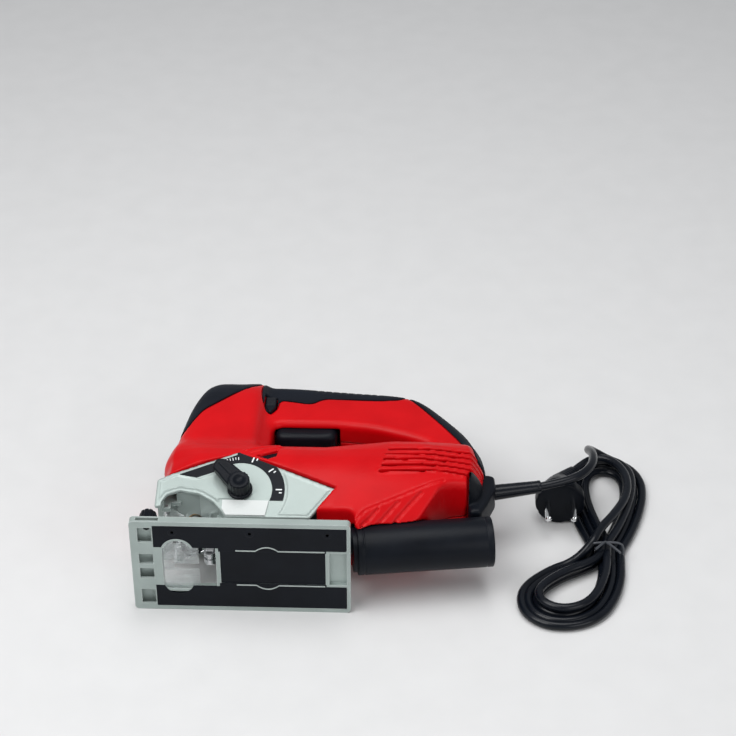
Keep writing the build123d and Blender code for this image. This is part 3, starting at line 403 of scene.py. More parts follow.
# ---- stage ----
CAMERA_PLACE = (0.0718, -1.1680, 0.9608)
LOOKS_DOWN = 35.0
LOOKS_ASIDE = 1.8
camera_data = bpy.data.cameras.new("camera")
camera_data.lens = 97.8
camera_data.sensor_width = 36.0
camera_data.clip_end = 20.0
camera = bpy.data.objects.new("camera", camera_data)
camera.location = CAMERA_PLACE
camera.rotation_euler = (math.radians(90 - LOOKS_DOWN), 0.0, math.radians(LOOKS_ASIDE))
bpy.context.scene.collection.objects.link(camera)
bpy.context.scene.camera = camera

bpy.context.scene.view_settings.view_transform = "Standard"
world = bpy.data.worlds.new("studio")
bpy.context.scene.world = world
world.use_nodes = True
world.node_tree.nodes["Background"].inputs["Color"].default_value = (0.95, 0.97, 1.0, 1)
world.node_tree.nodes["Background"].inputs["Strength"].default_value = 0.36


def softbox(name, location, target, size, power):
    """A rectangular studio light aimed at a target."""
    data = bpy.data.lights.new(name, "AREA")
    data.shape = "RECTANGLE"
    data.size, data.size_y = size
    data.energy = power
    lamp = bpy.data.objects.new(name, data)
    lamp.location = location
    aim = Vector(target) - Vector(location)
    lamp.rotation_euler = aim.to_track_quat("-Z", "Y").to_euler()
    bpy.context.scene.collection.objects.link(lamp)


softbox("key", (-0.6, -0.5, 1.3), (0.0, 0.0, 0.0), (0.9, 0.9), 14.0)
softbox("fill", (1.0, -1.1, 0.7), (0.0, 0.0, 0.0), (1.0, 0.7), 5.0)
softbox("top", (0.15, 0.15, 1.5), (0.0, 0.0, 0.0), (1.0, 0.7), 9.0)

floor_mesh = bpy.data.meshes.new("floor")
half = 4.0
floor_mesh.from_pydata([(-half, -half, 0), (half, -half, 0), (half, half, 0), (-half, half, 0)],
                       [], [(0, 1, 2, 3)])
floor_mesh.materials.append(FLOOR)
floor = bpy.data.objects.new("floor", floor_mesh)
floor.location.z = -0.0002
bpy.context.scene.collection.objects.link(floor)

# ---- mains lead, hank and plug ----
CORD_D = 6.5
RELIEF_START = lying(247.0, 88.0, 40.0)
LEAD = [
    (291.0, 96.5, 41.5), (314.0, 101.0, 44.0), (330.0, 118.0, 44.0), (333.0, 141.0, 39.0),
    (329.5, 160.0, 29.0), (334.0, 172.0, 19.0),
]
LOW_Z, MID_Z, TOP_Z = 3.4, 10.3, 17.2
# one turn of the winding: u, v, then where an outward step goes, and the share of the turn
TURN = [
    (347.2, 172, 0.2, 1.0), (358.8, 165.5, 0.7, 0.7), (364.8, 152, 1.0, 0.2), (364, 132, 1.0, 0.0),
    (358, 108, 1.0, 0.0), (350, 86, 1.0, 0.0), (342, 70, 1.0, 0.0), (341.5, 56, 1.0, 0.0),
    (340, 38, 1.0, -0.1), (334, 18, 1.0, -0.2), (325, 3, 0.8, -0.6), (311, -5, 0.3, -0.9),
    (295.5, -4.5, -0.5, -0.9), (284, 6, -0.9, -0.4), (284.5, 22, -0.9, 0.4), (303, 40, -0.6, 0.7),
    (322, 50, -0.7, 0.6), (331.5, 60, -0.9, 0.3), (334.5, 76, -1.0, 0.0), (328, 96, -1.0, 0.0),
    (323, 120, -1.0, 0.0), (321.5, 141, -1.0, 0.0), (325, 158, -0.9, 0.4), (334, 169.5, -0.5, 0.9),
]
SPACING = 7.2


def turn_points(start, end, low, high, first=0, last=len(TURN)):
    """Points of a turn whose outward step and height go from start to end."""
    points = []
    for n in range(first, last):
        u, v, du, dv = TURN[n]
        share = n / len(TURN)
        out = start + (end - start) * share
        lift = max(0.0, (share - 0.7) / 0.3)
        points.append((u + du * out, v + dv * out, low + (high - low) * lift))
    return points


route = list(LEAD)
route += turn_points(0.0, -SPACING, MID_Z, LOW_Z)
route += turn_points(-SPACING, 0.0, LOW_Z, LOW_Z)
route += turn_points(0.0, SPACING, LOW_Z, LOW_Z)
route += turn_points(SPACING, 1.6 * SPACING, LOW_Z, MID_Z, last=17)
route += [
    (328, 62, 16.0), (335, 78, 18.0), (347, 96, 17.5), (357, 116, TOP_Z), (360, 136, TOP_Z),
    (356, 153, TOP_Z), (346, 164, TOP_Z), (334, 165, 15.5), (326, 160, 13.2), (319.5, 153, 12.0),
]


def curve_object(name, points, radius, finish, closed=False):
    """A round smooth line through the air, as one NURBS curve."""
    data = bpy.data.curves.new(name, "CURVE")
    data.dimensions = "3D"
    data.bevel_depth = radius
    data.bevel_resolution = 6
    data.use_fill_caps = True
    line = data.splines.new("NURBS")
    line.points.add(len(points) - 1)
    for point, target in zip(line.points, points):
        point.co = (*target, 1.0)
    line.order_u = 3
    line.use_endpoint_u = not closed
    line.use_cyclic_u = closed
    line.resolution_u = 8
    data.materials.append(finish)
    obj = bpy.data.objects.new(name, data)
    bpy.context.scene.collection.objects.link(obj)
    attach(obj, "root")
    return obj


def curve_length(obj):
    """The length of a curve's centreline, in metres."""
    copy = obj.copy()
    copy.data = obj.data.copy()
    copy.data.bevel_depth = 0.0
    bpy.context.scene.collection.objects.link(copy)
    mesh = copy.to_mesh()
    total = sum((mesh.vertices[e.vertices[0]].co - mesh.vertices[e.vertices[1]].co).length
                for e in mesh.edges)
    copy.to_mesh_clear()
    bpy.data.objects.remove(copy)
    return total


cord_points = [lying(*point) for point in route]
cord = curve_object("mains_cord", cord_points, CORD_D / 2 * MM, CORD)
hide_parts("cord", "cord_hank")
print("cord length", curve_length(cord))

TIE_HALF = 7.5
tie_ring = []
for n in range(16):
    turn = 2 * math.pi * n / 16
    du = 11.0 * math.copysign(abs(math.cos(turn)) ** 0.6, math.cos(turn))
    dz = TIE_HALF * math.copysign(abs(math.sin(turn)) ** 0.6, math.sin(turn))
    tie_ring.append(lying(338 + du * 1.25, 63.0 + 0.8 * math.sin(2 * turn), 8.4 + dz * 1.1 + 0.6))
tie = curve_object("twist_tie_loop", tie_ring, 0.0009, TIE, closed=True)
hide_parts("twist_tie")
for n, end in enumerate(((330, 52, 19.5), (348, 50, 18.5))):
    twist = [lying(338, 63, 17.6), lying(338 + 2 * (n - 0.5) * 3, 59, 19.2), lying(*end)]
    curve_object(f"twist_tie_end_{n}", twist, 0.0009, TIE)

relief_end = lying(*LEAD[0])
relief_axis = (relief_end - RELIEF_START).normalized()
relief_length = (relief_end - RELIEF_START).length / MM
sleeve = [
    (-14, 3.4), (-14, 6.6), (-4, 6.5), (0, 6.2), (relief_length - 8, 4.9), (relief_length - 2.6, 4.7),
    (relief_length - 2.3, 4.9), (relief_length - 0.6, 4.8), (relief_length, 4.3), (relief_length, 3.4),
]
relief = lathe("strain_relief_sleeve", RELIEF_START, relief_axis, sleeve, CORD, steps=40)
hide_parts("strain_relief")

PLUG_FACE = lying(307.0, 105.0, 18.5)
plug_profile = [
    (0, 0.0), (0, 15.2), (0.0, 17.4), (0.5, 18.2), (1.5, 18.5), (8.6, 18.5), (9.6, 18.1),
    (10.4, 16.8), (14.0, 15.4), (18.0, 13.2), (22.0, 10.8), (25.0, 9.2), (26.0, 8.4), (26.0, 0.0),
]
plug = lathe("mains_plug", PLUG_FACE, (0, 1, 0), plug_profile, BLACK, steps=72, flutes=9, depth=0.5)
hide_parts("plug_body")
tail_start = PLUG_FACE + Vector((0, 25.0 * MM, 0))
tail_end = lying(319.5, 153.0, 12.0)
tail_length = (tail_end - tail_start).length / MM
tail_profile = [(0, 3.0), (0, 7.6)]
for n in range(6):
    along = 2.0 + n * (tail_length - 5.0) / 6
    width = 7.2 - 2.4 * n / 6
    tail_profile += [(along, width), (along + 2.0, width), (along + 2.3, width - 0.8),
                     (along + 3.0, width - 0.8)]
tail_profile += [(tail_length - 1.0, 4.7), (tail_length, 4.3), (tail_length, 3.0)]
tail = lathe("mains_plug_tail", tail_start, tail_end - tail_start, tail_profile, BLACK, steps=40)
curve_length(cord)

# ---- the outer form ----
HALF_WIDTH = 40.0
HANDLE_HALF = 17.5
DOME_HALF = 30.0
FLANK_TOP = 84.0
FLANK_DRAW = 0.3036
FLANK_STRETCH = 1.045
TUBE_TILT = math.radians(7.5)
TUBE_REAR = (255.0, 34.5)
TUBE_LENGTH = 97.5
TUBE_ROOM = 18.7
LEAD_EXIT = (247.0, 88.0)
LEAD_SLOPE = 8.5 / 44.0
LEAD_COSINE = 0.982
BODY = [
    (12.5, 55), (13.5, 74), (17.5, 96), (34, 112), (92, 114), (140, 114), (160, 116), (185, 121),
    (222, 123),
    (242, 117), (249.5, 97), (249.5, 76), (243, 63), (219, 59), (198, 31), (176, 24),
    (155.5, 20), (155.5, 36), (90, 36),
]
DOME = [
    (14.5, 80), (18, 100), (21.5, 118), (24.5, 140), (28, 160), (35, 180), (46, 194), (60, 202),
    (78, 200), (82, 190),
    (82, 80),
]
HANDLE = [
    (60, 90), (60, 190), (78, 199), (106, 199), (142, 195), (185, 191.5), (203, 185),
    (225, 158), (239, 138), (247, 114), (249.5, 90),
]
FINGER_HOLE = [
    (90, 114), (90, 148), (140, 148), (168, 144), (194, 135), (211, 126.5), (206, 122.5),
    (185, 119), (160, 116), (140, 114),
]
ARROW = [(0, 59.5), (21.5, 65), (70, 85), (141.6, 55), (122, 28), (122, -5), (0, -5)]
FRONT_SECTION = [
    (10, -60), (10, 36), (62, 40), (74, 39.8), (84, 38.4), (92, 36), (98, 33), (104, 28.5),
    (109, 23), (113, 16), (116, 6), (116, -60),
]
REAR_SECTION = [
    (10, -60), (10, 37), (62, 40), (84, 40), (94, 38.8), (102, 36), (109, 31.5), (115, 25),
    (120, 16), (124, 6), (124, -60),
]
DOME_SECTION = [(60, -60), (60, 30), (150, 30)] + [
    (165 + 37 * math.sin(math.radians(t)), 30 * math.cos(math.radians(t))) for t in range(0, 91, 9)
] + [(202, -60)]
SEAM = [(148, 17), (163, 34), (189, 45.5), (219, 61), (252, 74)]
CREST = [(82, 82.5), (98, 91), (97, 82), (91, 78.5)]
BODY_PLAN = [
    (12.5, -60), (12.5, 18), (22, 32), (40, 40), (205, 40), (238, 32), (249.5, 16), (249.5, -60),
]
CAP_REGION = [(-5, 117), (24, 120), (37, 148), (59, 170), (78, 188), (80, 230), (-5, 230)]
GRIP_REGION = [
    (81, 230), (80.5, 196), (79, 186), (79.5, 171), (85, 156), (92, 166), (93, 177), (101, 176),
    (118, 172.5), (126, 180), (170, 179), (189, 181), (196, 230),
]
REAR_REGION = [
    (200, 230), (191.5, 184), (201, 172.5), (219, 147), (231, 128.5), (239.5, 110), (243.5, 96),
    (272, 96), (272, 230),
]
BOOT_REGION = [(235.5, 73), (244, 78), (262, 80), (262, 45), (236, 45)]
SCREW_POSTS = [(31.5, 150), (72, 172), (150, 168), (212, 145), (238, 104), (214, 66), (163, 47)]
BUTTON = (82.3, 90.7)
DIAL = (204.0, 170.0)
KNOB = (73.0, 52.0)
SHELL = 2.8
STEP = 1.08


def tube_distance(grid, radius, start):
    """Distance to the dust tube's bed: a tilted cylinder from a place on its axis."""
    du, dv = grid.u - TUBE_REAR[0], grid.v - TUBE_REAR[1]
    along = du * math.cos(TUBE_TILT) + dv * math.sin(TUBE_TILT)
    across = -du * math.sin(TUBE_TILT) + dv * math.cos(TUBE_TILT)
    front = -TUBE_LENGTH / math.cos(TUBE_TILT) + start
    return np.maximum(np.hypot(across, grid.w) - radius, front - along)


def form(grid):
    """The tool's moulded outer form, with the finger hole but no other opening or detail."""
    reach = np.abs(grid.w)
    wv = (grid.vw[0], np.abs(grid.vw[1]))
    wu = (grid.uw[0], np.abs(grid.uw[1]))
    rearness = np.clip((grid.u - 132.0) / 50.0, 0.0, 1.0)
    section = (area(*wv, FRONT_SECTION)[None, :, :] * (1 - rearness)
               + area(*wv, REAR_SECTION)[None, :, :] * rearness)
    body = raised(grid.side(rounded_corners(BODY, 9)), grid.w, HALF_WIDTH, 9.0)
    body = smax(body, section, 4.0)
    body = smax(body, area(*wu, BODY_PLAN)[:, None, :], 10.0)
    # the flank draws in towards the sole, less so at the rear
    draw = FLANK_DRAW - 0.16 * np.clip((grid.u - 140.0) / 80.0, 0.0, 1.0)
    flank = (reach - HALF_WIDTH + draw * (FLANK_TOP - grid.v)) / FLANK_STRETCH
    body = smax(body, flank, 3.0)
    # under the seam the flank turns in to the dust tube
    under = grid.side([*SEAM, (262, 0), (148, 0)])
    turned = (reach - HALF_WIDTH + draw * (FLANK_TOP - grid.v) - 0.85 * under) * 0.74
    body = smax(body, turned, 1.2)
    dome = raised(grid.side(rounded_corners(DOME, 14)), grid.w, DOME_HALF, 13.0)
    dome = smax(dome, area(*wv, DOME_SECTION)[None, :, :], 5.0)
    handle = raised(grid.side(rounded_corners(HANDLE, 16)), grid.w, HANDLE_HALF, 11.0)
    total = smin(smin(body, dome, 9.0), handle, 9.0)
    return smax(total, -grid.side(rounded_corners(FINGER_HOLE, 9)), 7.0)


def from_lead_axis(grid):
    """Distance from the line that the lead leaves the housing along."""
    axis_v = LEAD_EXIT[1] + (grid.u - LEAD_EXIT[0]) * LEAD_SLOPE
    return np.hypot((grid.v - axis_v) * LEAD_COSINE, grid.w)


def openings(grid, field):
    """Cuts the openings for the trigger, the dial, the lead, the dust path and the nose."""
    reach = np.abs(grid.w)
    trigger_side = np.maximum(np.abs(grid.u - 115.5) - 25.0, np.abs(grid.v - 148.5) - 5.5)
    trigger_box = np.maximum(trigger_side, reach - 12.0)
    field = np.maximum(field, -trigger_box)
    dial = np.hypot(grid.u - DIAL[0], grid.v - DIAL[1]) - 11.7
    field = np.maximum(field, -np.maximum(dial, reach - 4.3))
    hole = from_lead_axis(grid) - 7.6
    field = np.maximum(field, -np.maximum(hole, 232.0 - grid.u))
    field = np.maximum(field, -tube_distance(grid, TUBE_ROOM, -6.0))
    duct = np.maximum(np.hypot(grid.v - 33.0, grid.w) - 10.3, np.abs(grid.u - 119.0) - 39.0)
    field = np.maximum(field, -duct)
    return np.maximum(field, -grid.side(ARROW))


def flank_details(grid, field):
    """Lines, ribs and recesses of both flanks."""
    field = carve(field, grid.line(SEAM[:4], 1.3), 0.9)
    for start, end in (((160, 24), (172, 36)), ((171, 27), (187, 42)), ((184, 31), (203, 50))):
        field = carve(field, grid.line([start, end], 1.5), 1.2)
    for row in range(5):
        v = 68.0 + 6.2 * row
        slot = [(173.0 + 1.5 * row, v), (222, v + 1.8), (250, v + 1.0 + 0.6 * row)]
        lip = grid.line(slot, 4.4)
        field = emboss(field, lip, 0.6)
        field = carve(field, grid.line(slot, 2.5), 3.6)
    for ridge in ([(74, 89), (84, 95.5), (98, 101.5)], [(78, 86.5), (88, 91.5), (100, 96.5)]):
        field = emboss(field, grid.line(ridge, 2.0), 0.9)
    return carve(field, grid.side(CREST), 3.2)


def region_of(grid, outline):
    """A grip's region seen from the side, with soft corners."""
    return grid.side(rounded_corners(outline, 6))


shell_grid = Grid((8, 15, -42.5), (254, 206.5, 42.5), STEP)
outer = form(shell_grid)
detailed = flank_details(shell_grid, outer)
for outline in (CAP_REGION, GRIP_REGION, REAR_REGION, BOOT_REGION):
    region = region_of(shell_grid, outline)
    detailed = np.maximum(detailed, -np.maximum(region - 0.25, -outer - 1.6))
hollow = np.maximum(detailed, -(outer + SHELL + 1.2))
for u, v in SCREW_POSTS:
    around = np.hypot(shell_grid.u - u, shell_grid.v - v)
    hollow = np.minimum(hollow, np.maximum(around - 4.5, outer + 1.7))
hollow = openings(shell_grid, hollow)
left = hollow
right = hollow
mid_button = sum(BUTTON) / 2
button_hole = [(BUTTON[0], 178), (BUTTON[1], 178), (BUTTON[1], 166), (mid_button, 158.5),
               (BUTTON[0], 166)]
hole_field = shell_grid.side(button_hole) - 0.5
left = np.maximum(left, -np.maximum(hole_field, 5.0 - shell_grid.w))
for u, v in SCREW_POSTS:
    around = np.hypot(shell_grid.u - u, shell_grid.v - v)
    left = np.maximum(left, -np.maximum(around - 1.8, shell_grid.w - 11.5))
    right = np.maximum(right, -np.maximum(around - 1.8, -shell_grid.w - 30))
    right = np.maximum(right, -np.maximum(around - 3.6, shell_grid.w + 8.0))
field_object("housing_left_shell", shell_grid, np.maximum(left, 0.06 - shell_grid.w), RED,
             node="housing_left")
field_object("housing_right_shell", shell_grid, np.maximum(right, shell_grid.w + 0.06), RED,
             node="housing_right")

SCREW_PROFILE = [
    (1.6, 0.0), (1.6, 1.0), (0.1, 1.3), (0.0, 2.6), (0.35, 3.0), (2.5, 3.0), (2.5, 1.5), (20.8, 1.5),
    (21.5, 0.8), (21.5, 0.0),
]
for n, (u, v) in enumerate(SCREW_POSTS):
    screw = lathe(f"housing_screw_{n}", place(u, v, -10.5), (0, 0, 1), SCREW_PROFILE, STEEL, steps=32)
    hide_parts("housing_screws")

GRIPS = {
    "front_cap_grip": (CAP_REGION, (8, 124, -33), (84, 206, 33)),
    "handle_grip": (GRIP_REGION, (76, 150, -30), (200, 206, 30)),
    "rear_grip": (REAR_REGION, (188, 92, -32), (254, 198, 32)),
}
for node_name, (outline, low, high) in GRIPS.items():
    grid = Grid(low, high, 1.0)
    skin = form(grid)
    region = region_of(grid, outline)
    grip = smax(smax(skin - 0.45, region + 0.15, 0.8), -(skin + 1.35), 0.2)
    if node_name == "handle_grip":
        for n in range(9):
            rib = [(120 + 6 * n, 186.5), (123 + 6 * n, 199)]
            grip = np.maximum(grip, -np.maximum(grid.line(rib, 1.3), -(skin - 0.45) - 0.5))
    grip = openings(grid, grip)
    room = np.maximum(grid.side(button_hole) - 0.5, 5.0 - grid.w)
    grip = np.maximum(grip, -np.maximum(room, 5.0 - grid.w))
    field_object(node_name + "_pad", grid, grip, GRIP, node=node_name)

# ---- black boot where the lead leaves the housing ----
boot_grid = Grid((233, 44, -32), (262, 104, 32), 0.8)
skin = form(boot_grid)
boot = smax(smax(skin - 0.6, region_of(boot_grid, BOOT_REGION) + 0.15, 0.8), -(skin + 1.35), 0.2)
BOOT_SIDE = [
    (244, 96), (250, 98.5), (256.5, 97), (257.5, 84), (251, 66), (246, 54), (238, 54), (236, 62),
]
wedge = raised(boot_grid.side(rounded_corners(BOOT_SIDE, 3)), boot_grid.w, 11.0, 3.0)
boot = smin(boot, np.maximum(wedge, -(skin + 1.35)), 1.5)
boot = np.maximum(boot, -tube_distance(boot_grid, TUBE_ROOM + 0.2, -6.0))
boot = np.maximum(boot, -(from_lead_axis(boot_grid) - 7.0))
boot = np.maximum(boot, 237.0 - boot_grid.u)
field_object("cord_boot", boot_grid, boot, BLACK)

# ---- dark inlay of the recess beside the panel's crest ----
crest_grid = Grid((79, 76, -40), (101, 93, 40), 0.6)
skin = form(crest_grid)
inlay = np.maximum(np.maximum(crest_grid.side(CREST) - 0.2, skin + 2.4), -(skin + 3.8))
field_object("crest_inlay", crest_grid, inlay, BLACK)

# ---- trigger, lock button, speed dial ----
TRIGGER_SIDE = [
    (91, 158.5), (91, 143), (95, 139), (104, 137.5), (128, 137.5), (136, 139.5), (138.5, 144),
    (138.5, 158.5),
]
grid = Grid((88, 134.5, -13.5), (141, 161, 13.5), 0.7)
paddle = raised(grid.side(rounded_corners(TRIGGER_SIDE, 6)), grid.w, 11.8, 5.5)
paddle = smax(paddle, -(np.hypot(grid.v - 118.5, grid.w * 0.25) - 19.6), 2.0)
inner = np.maximum(np.maximum(np.abs(grid.u - 115.5) - 19.5, 141.5 - grid.v), np.abs(grid.w) - 9.0)
paddle = np.maximum(paddle, -inner)
paddle = np.maximum(paddle, -(np.hypot(grid.u - 93.5, grid.v - 155.0) - 1.6))
field_object("trigger_paddle", grid, paddle, BLACK, body="trigger", node="trigger")

grid = Grid((80, 155, 8.5), (93, 181, 21.5), 0.4)
face = [(BUTTON[0], 178), (BUTTON[1], 178), (BUTTON[1], 166), (mid_button + 1, 159),
        (mid_button - 1, 159), (BUTTON[0], 166)]
button = raised(grid.side(rounded_corners(face, 1.0)), grid.w - 16.2, 3.8, 1.1)
for n in range(5):
    button = carve(button, np.abs(grid.v - (167.5 + 2 * n)) - 0.35, 0.5)
stem = np.maximum(np.hypot(grid.u - mid_button, grid.v - 171) - 2.5, np.abs(grid.w - 11.5) - 2.0)
field_object("lock_button_cap", grid, np.minimum(button, stem), BLACK, body="lock_button",
             node="lock_button")

grid = Grid((191, 157, -4.5), (217, 183, 4.5), 0.4)
turn = np.arctan2(grid.v - DIAL[1], grid.u - DIAL[0])
edge_r = 10.7 + 0.3 * np.cos(30 * turn)
disc = raised(np.hypot(grid.u - DIAL[0], grid.v - DIAL[1]) - edge_r, grid.w, 3.0, 0.7)
disc = np.maximum(disc, -(np.hypot(grid.u - DIAL[0], grid.v - DIAL[1]) - 1.6))
field_object("speed_dial_wheel", grid, disc, BLACK, body="speed_dial", node="speed_dial")

# ---- orbit selector, in the flank's own coordinates ----
SLOPE = 0.3
cosine = 1 / math.hypot(1, SLOPE)
sine = SLOPE * cosine
knob_centre = np.array([KNOB[0], KNOB[1], 38.0 + SLOPE * (KNOB[1] - 86.0)])


def from_flank(points):
    """From x along u, y up the flank and z out of it, at the selector, to the row frame."""
    x, y, z = points[:, 0], points[:, 1], points[:, 2]
    u = knob_centre[0] + x
    v = knob_centre[1] + y * cosine - z * sine
    w = knob_centre[2] + y * sine + z * cosine
    return (np.stack([u, v, w], 1) + ORIGIN) * MM


grid = Grid((-25, -12, -4.5), (12, 26, 16.5), 0.5)
radius = np.hypot(grid.u, grid.v)
angle = np.arctan2(grid.v, grid.u)
hub = raised(radius - (7.5 + 0.22 * np.cos(18 * angle)), grid.w - 8.0, 6.2, 1.0)
flange = raised(radius - 9.0, grid.w - 1.9, 1.0, 0.5)
shaft = np.maximum(radius - 3.0, np.abs(grid.w + 1.2) - 2.2)
lever_side = [(-7.5, -2.5), (-20.6, 14.5), (-17.6, 21.2), (-10.6, 20.8), (6.5, 5.5)]
lever = raised(grid.side(rounded_corners(lever_side, 2.5)), grid.w - 6.8, 3.4, 1.3)
selector = smin(smin(hub, flange, 0.6), lever, 1.6)
selector = np.minimum(selector, shaft)
mark = grid.line([(-7, 7.5), (-15.5, 17)], 1.1)
selector = np.maximum(selector, -np.maximum(mark, 9.7 - grid.w))
dish = np.hypot(radius, grid.w - 17.8) - 5.6
selector = smax(selector, -dish, 0.8)
field_object("orbit_selector_knob", grid, selector, BLACK, body="orbit_selector",
             to_row=from_flank, node="orbit_selector")

# ---- side panels: light metal with a raised border ----
PANEL_OUTLINE = [
    (12.8, 38), (12.8, 59.8), (21.5, 64.6), (70, 84.6), (141, 55), (123.5, 30.5), (64, 30.5),
    (60, 36), (54, 43), (44, 49), (30, 51.5), (21, 48), (17.5, 42), (17.5, 38),
]
SCALE_BAND = [(28.6, 64.3), (70, 82), (93, 72.5), (88, 66), (70, 74), (41, 62)]


def panel_field(grid, with_knob):
    """A flank panel with a raised border and a shallow middle."""
    out = (np.abs(grid.w) - 38.0 - SLOPE * (grid.v - 86.0)) * cosine
    outline = grid.side(rounded_corners(PANEL_OUTLINE, 1.2))
    a, b = outline + 0.6, np.abs(out + 1.35) - 1.35 + 0.6
    plate = np.minimum(np.maximum(a, b), 0) + np.hypot(np.maximum(a, 0), np.maximum(b, 0)) - 0.6
    shallow = outline + 2.6
    if with_knob:
        marks = np.minimum(grid.side(SCALE_BAND),
                           np.maximum(np.hypot(grid.u - KNOB[0], grid.v - KNOB[1]) - 33.0,
                                      KNOB[0] - 5 - grid.u))
        shallow = np.maximum(shallow, 1.0 - np.minimum(marks, grid.side([
            (60, 29), (95, 29), (96, 44), (59, 44)])))
    plate = np.maximum(plate, -np.maximum(shallow, -0.55 - out))
    hole_u, hole_v = grid.u - KNOB[0], (grid.v - KNOB[1]) / cosine
    if with_knob:
        plate = np.maximum(plate, 3.06 - np.hypot(hole_u, hole_v))
    return plate


for sign, label in ((1, "left"), (-1, "right")):
    low_w, high_w = sorted((sign * 18.0, sign * 39.5))
    grid = Grid((10.5, 28, low_w), (143, 87, high_w), 0.75)
    field_object(f"side_panel_{label}_plate", grid, panel_field(grid, sign > 0), CAST,
                 node=f"side_panel_{label}")


def flat_shape(name, outline, low, height, finish, to_row=from_flank, body="root"):
    """A thin flat shape standing out of the left flank or, with from_sole, out of the sole."""
    count = len(outline)
    points = np.array([(x, y, low) for x, y in outline] + [(x, y, low + height) for x, y in outline])
    faces = [tuple(range(count))[::-1], tuple(range(count, 2 * count))]
    faces += [(n, (n + 1) % count, count + (n + 1) % count, count + n) for n in range(count)]
    return mesh_object(name, to_row(points), faces, finish, body=body, smooth=False)


def ray_mark(name, degrees, r0, r1, width):
    """A short radial mark of the scale."""
    turn = math.radians(degrees)
    along = np.array([math.cos(turn), math.sin(turn)])
    across = np.array([-along[1], along[0]]) * width / 2
    ends = [along * r0 - across, along * r1 - across, along * r1 + across, along * r0 + across]
    flat_shape(name, [tuple(e) for e in ends], 0.52, 0.14, INK)


for n, degrees in enumerate((74, 40, 2)):
    ray_mark(f"scale_mark_{n}", degrees, 25.5, 30.0, 1.0)
    ray_mark(f"scale_tick_{n}", degrees - 5.5, 28.0, 30.0, 0.9)
for n in range(9):
    ray_mark(f"scale_fine_{n}", 96 + 4.2 * n, 26.5 + 0.5 * (n % 2), 29.0, 0.55)

# ---- guide knob, dust tube ----
knob_profile = [
    (4.9, 0.0), (4.9, 2.2), (5.3, 2.45), (9.0, 2.45), (9.0, 5.4), (9.5, 6.0), (10.4, 6.2),
    (17.6, 6.2), (18.8, 5.7), (19.4, 4.6), (19.1, 2.4), (18.7, 0.0),
]
guide = lathe("guide_knob_head", place(11.5, 0, 31), (0, 1, 0), knob_profile, BLACK,
              body="guide_knob", steps=120, flutes=10, depth=0.7)
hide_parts("guide_knob")

TUBE_FRONT_U = TUBE_REAR[0] - TUBE_LENGTH
OVERALL_LENGTH = 256.0
TUBE_R = 18.0
tube_axis = Vector((math.cos(TUBE_TILT), math.sin(TUBE_TILT), 0))
tube_start = place(TUBE_FRONT_U, TUBE_REAR[1] - TUBE_LENGTH * math.tan(TUBE_TILT), 0)
tube_length = (OVERALL_LENGTH - TUBE_FRONT_U - TUBE_R * math.sin(TUBE_TILT)) / math.cos(TUBE_TILT)
tube_profile = [
    (0, 16.0), (0, 17.5), (0.5, 18.0), (4.0, 18.0), (4.3, 17.6), (5.1, 17.6), (5.4, 18.0),
    (tube_length - 5.2, 18.0), (tube_length - 5.0, 17.75), (tube_length - 4.2, 17.75),
    (tube_length - 4.0, 18.0), (tube_length - 0.6, 18.0), (tube_length, 17.5),
    (tube_length, 16.9), (tube_length - 0.6, 16.4), (tube_length - 40, 16.4),
    (tube_length - 40.5, 16.0),
]
tube = lathe("dust_tube_pipe", tube_start, tube_axis, tube_profile, BLACK, body="dust_tube",
             steps=128)
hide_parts("dust_tube")

# ---- the sole's black pads, with thin ribs and bosses on them ----
PAD_FRONT, PAD_REAR = 16.2, 151.0
PAD_INNER, PAD_OUTER = 17.4, 36.3
CENTRE_PAD_U = (61.5, 137.0)
CENTRE_PAD_HALF = 14.5
GATE_ROUND = (32.6, 13.7, 10.9)
BOSS_PROFILE = [
    (-0.1, 0.0), (-0.1, 3.2), (0.12, 3.1), (0.2, 2.6), (0.2, 1.6), (0.0, 1.3), (0.0, 0.0),
]
RIB_U = (73.6, 136.0)
RIB_W = 15.7
BUMP_U = 95.5
BUMP_HALF = 8.0
BUMP_HEIGHT = 3.4


def from_sole(points):
    """From x along u, y along w and z out of the sole, to the row frame."""
    return (np.stack([points[:, 0], -points[:, 2], points[:, 1]], 1) + ORIGIN) * MM


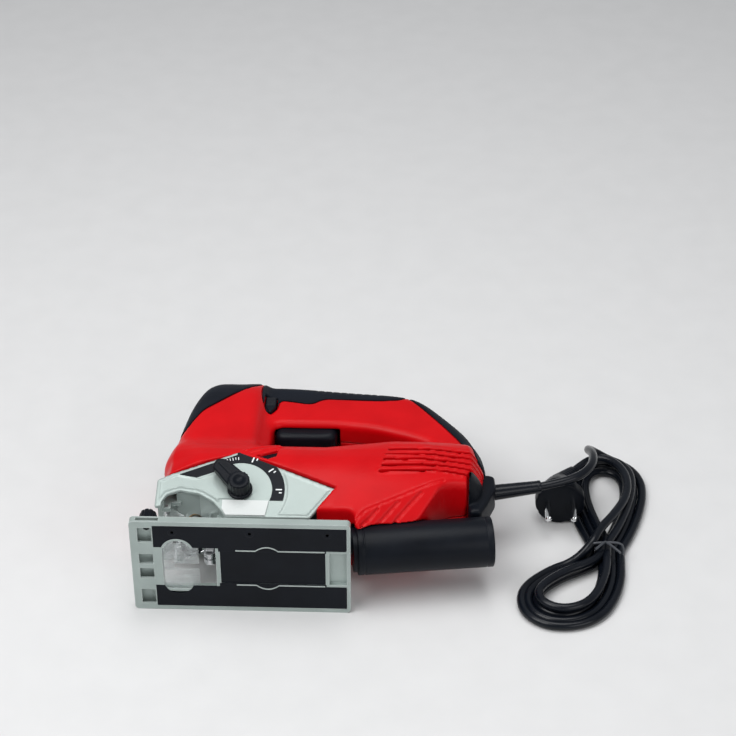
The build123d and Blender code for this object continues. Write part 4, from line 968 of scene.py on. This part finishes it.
gate_u, gate_w, gate_r = GATE_ROUND
turns = [math.radians(t) for t in range(20, 161, 10)]
pad_side = [
    (PAD_FRONT, PAD_OUTER), (PAD_REAR, PAD_OUTER), (PAD_REAR, PAD_INNER - 1),
    (CENTRE_PAD_U[1], PAD_INNER - 1), (CENTRE_PAD_U[1], CENTRE_PAD_HALF),
    (CENTRE_PAD_U[0], CENTRE_PAD_HALF), (CENTRE_PAD_U[0], PAD_INNER),
]
pad_side += [(gate_u + gate_r * math.cos(t), gate_w + gate_r * math.sin(t)) for t in turns]
pad_side += [(PAD_FRONT, PAD_INNER)]
rib_line = [(RIB_U[0], RIB_W)]
for n in range(13):
    across = n / 6 - 1
    rib_line.append((BUMP_U + BUMP_HALF * across, RIB_W + BUMP_HEIGHT * (1 - across**2)))
rib_line.append((RIB_U[1], RIB_W))
rib_side = [(u, w + 0.45) for u, w in rib_line] + [(u, w - 0.45) for u, w in rib_line[::-1]]
for sign, label in ((1, "left"), (-1, "right")):
    for name, outline, height, finish in (("sole_pad", pad_side, 0.2, BLACK),
                                          ("sole_rib", rib_side, 0.5, CAST)):
        mirrored = [(u, sign * w) for u, w in outline][::sign]
        piece = flat_shape(f"{name}_{label}", mirrored, -0.3, 0.3 + height, finish,
                           to_row=from_sole, body="shoe")
ring = []
for ring_r, order in ((gate_r + 0.6, turns), (gate_r - 1.0, turns[::-1])):
    ring += [(gate_u + ring_r * math.cos(t), gate_w + ring_r * math.sin(t)) for t in order]
rim = flat_shape("gate_ring", ring, -0.3, 0.75, CAST, to_row=from_sole, body="shoe")
centre = [(CENTRE_PAD_U[0], -14.4), (136.3, -14.4), (136.3, 14.4), (CENTRE_PAD_U[0], 14.4)]
centre_pad = flat_shape("sole_pad_centre", centre, -2.4, 2.0, BLACK, to_row=from_sole, body="shoe")
for n, u in enumerate((30, 84, 138)):
    boss = lathe(f"sole_boss_{n}", place(u, -0.2, 31.0), (0, -1, 0), BOSS_PROFILE, BLACK,
                 body="shoe", steps=40)
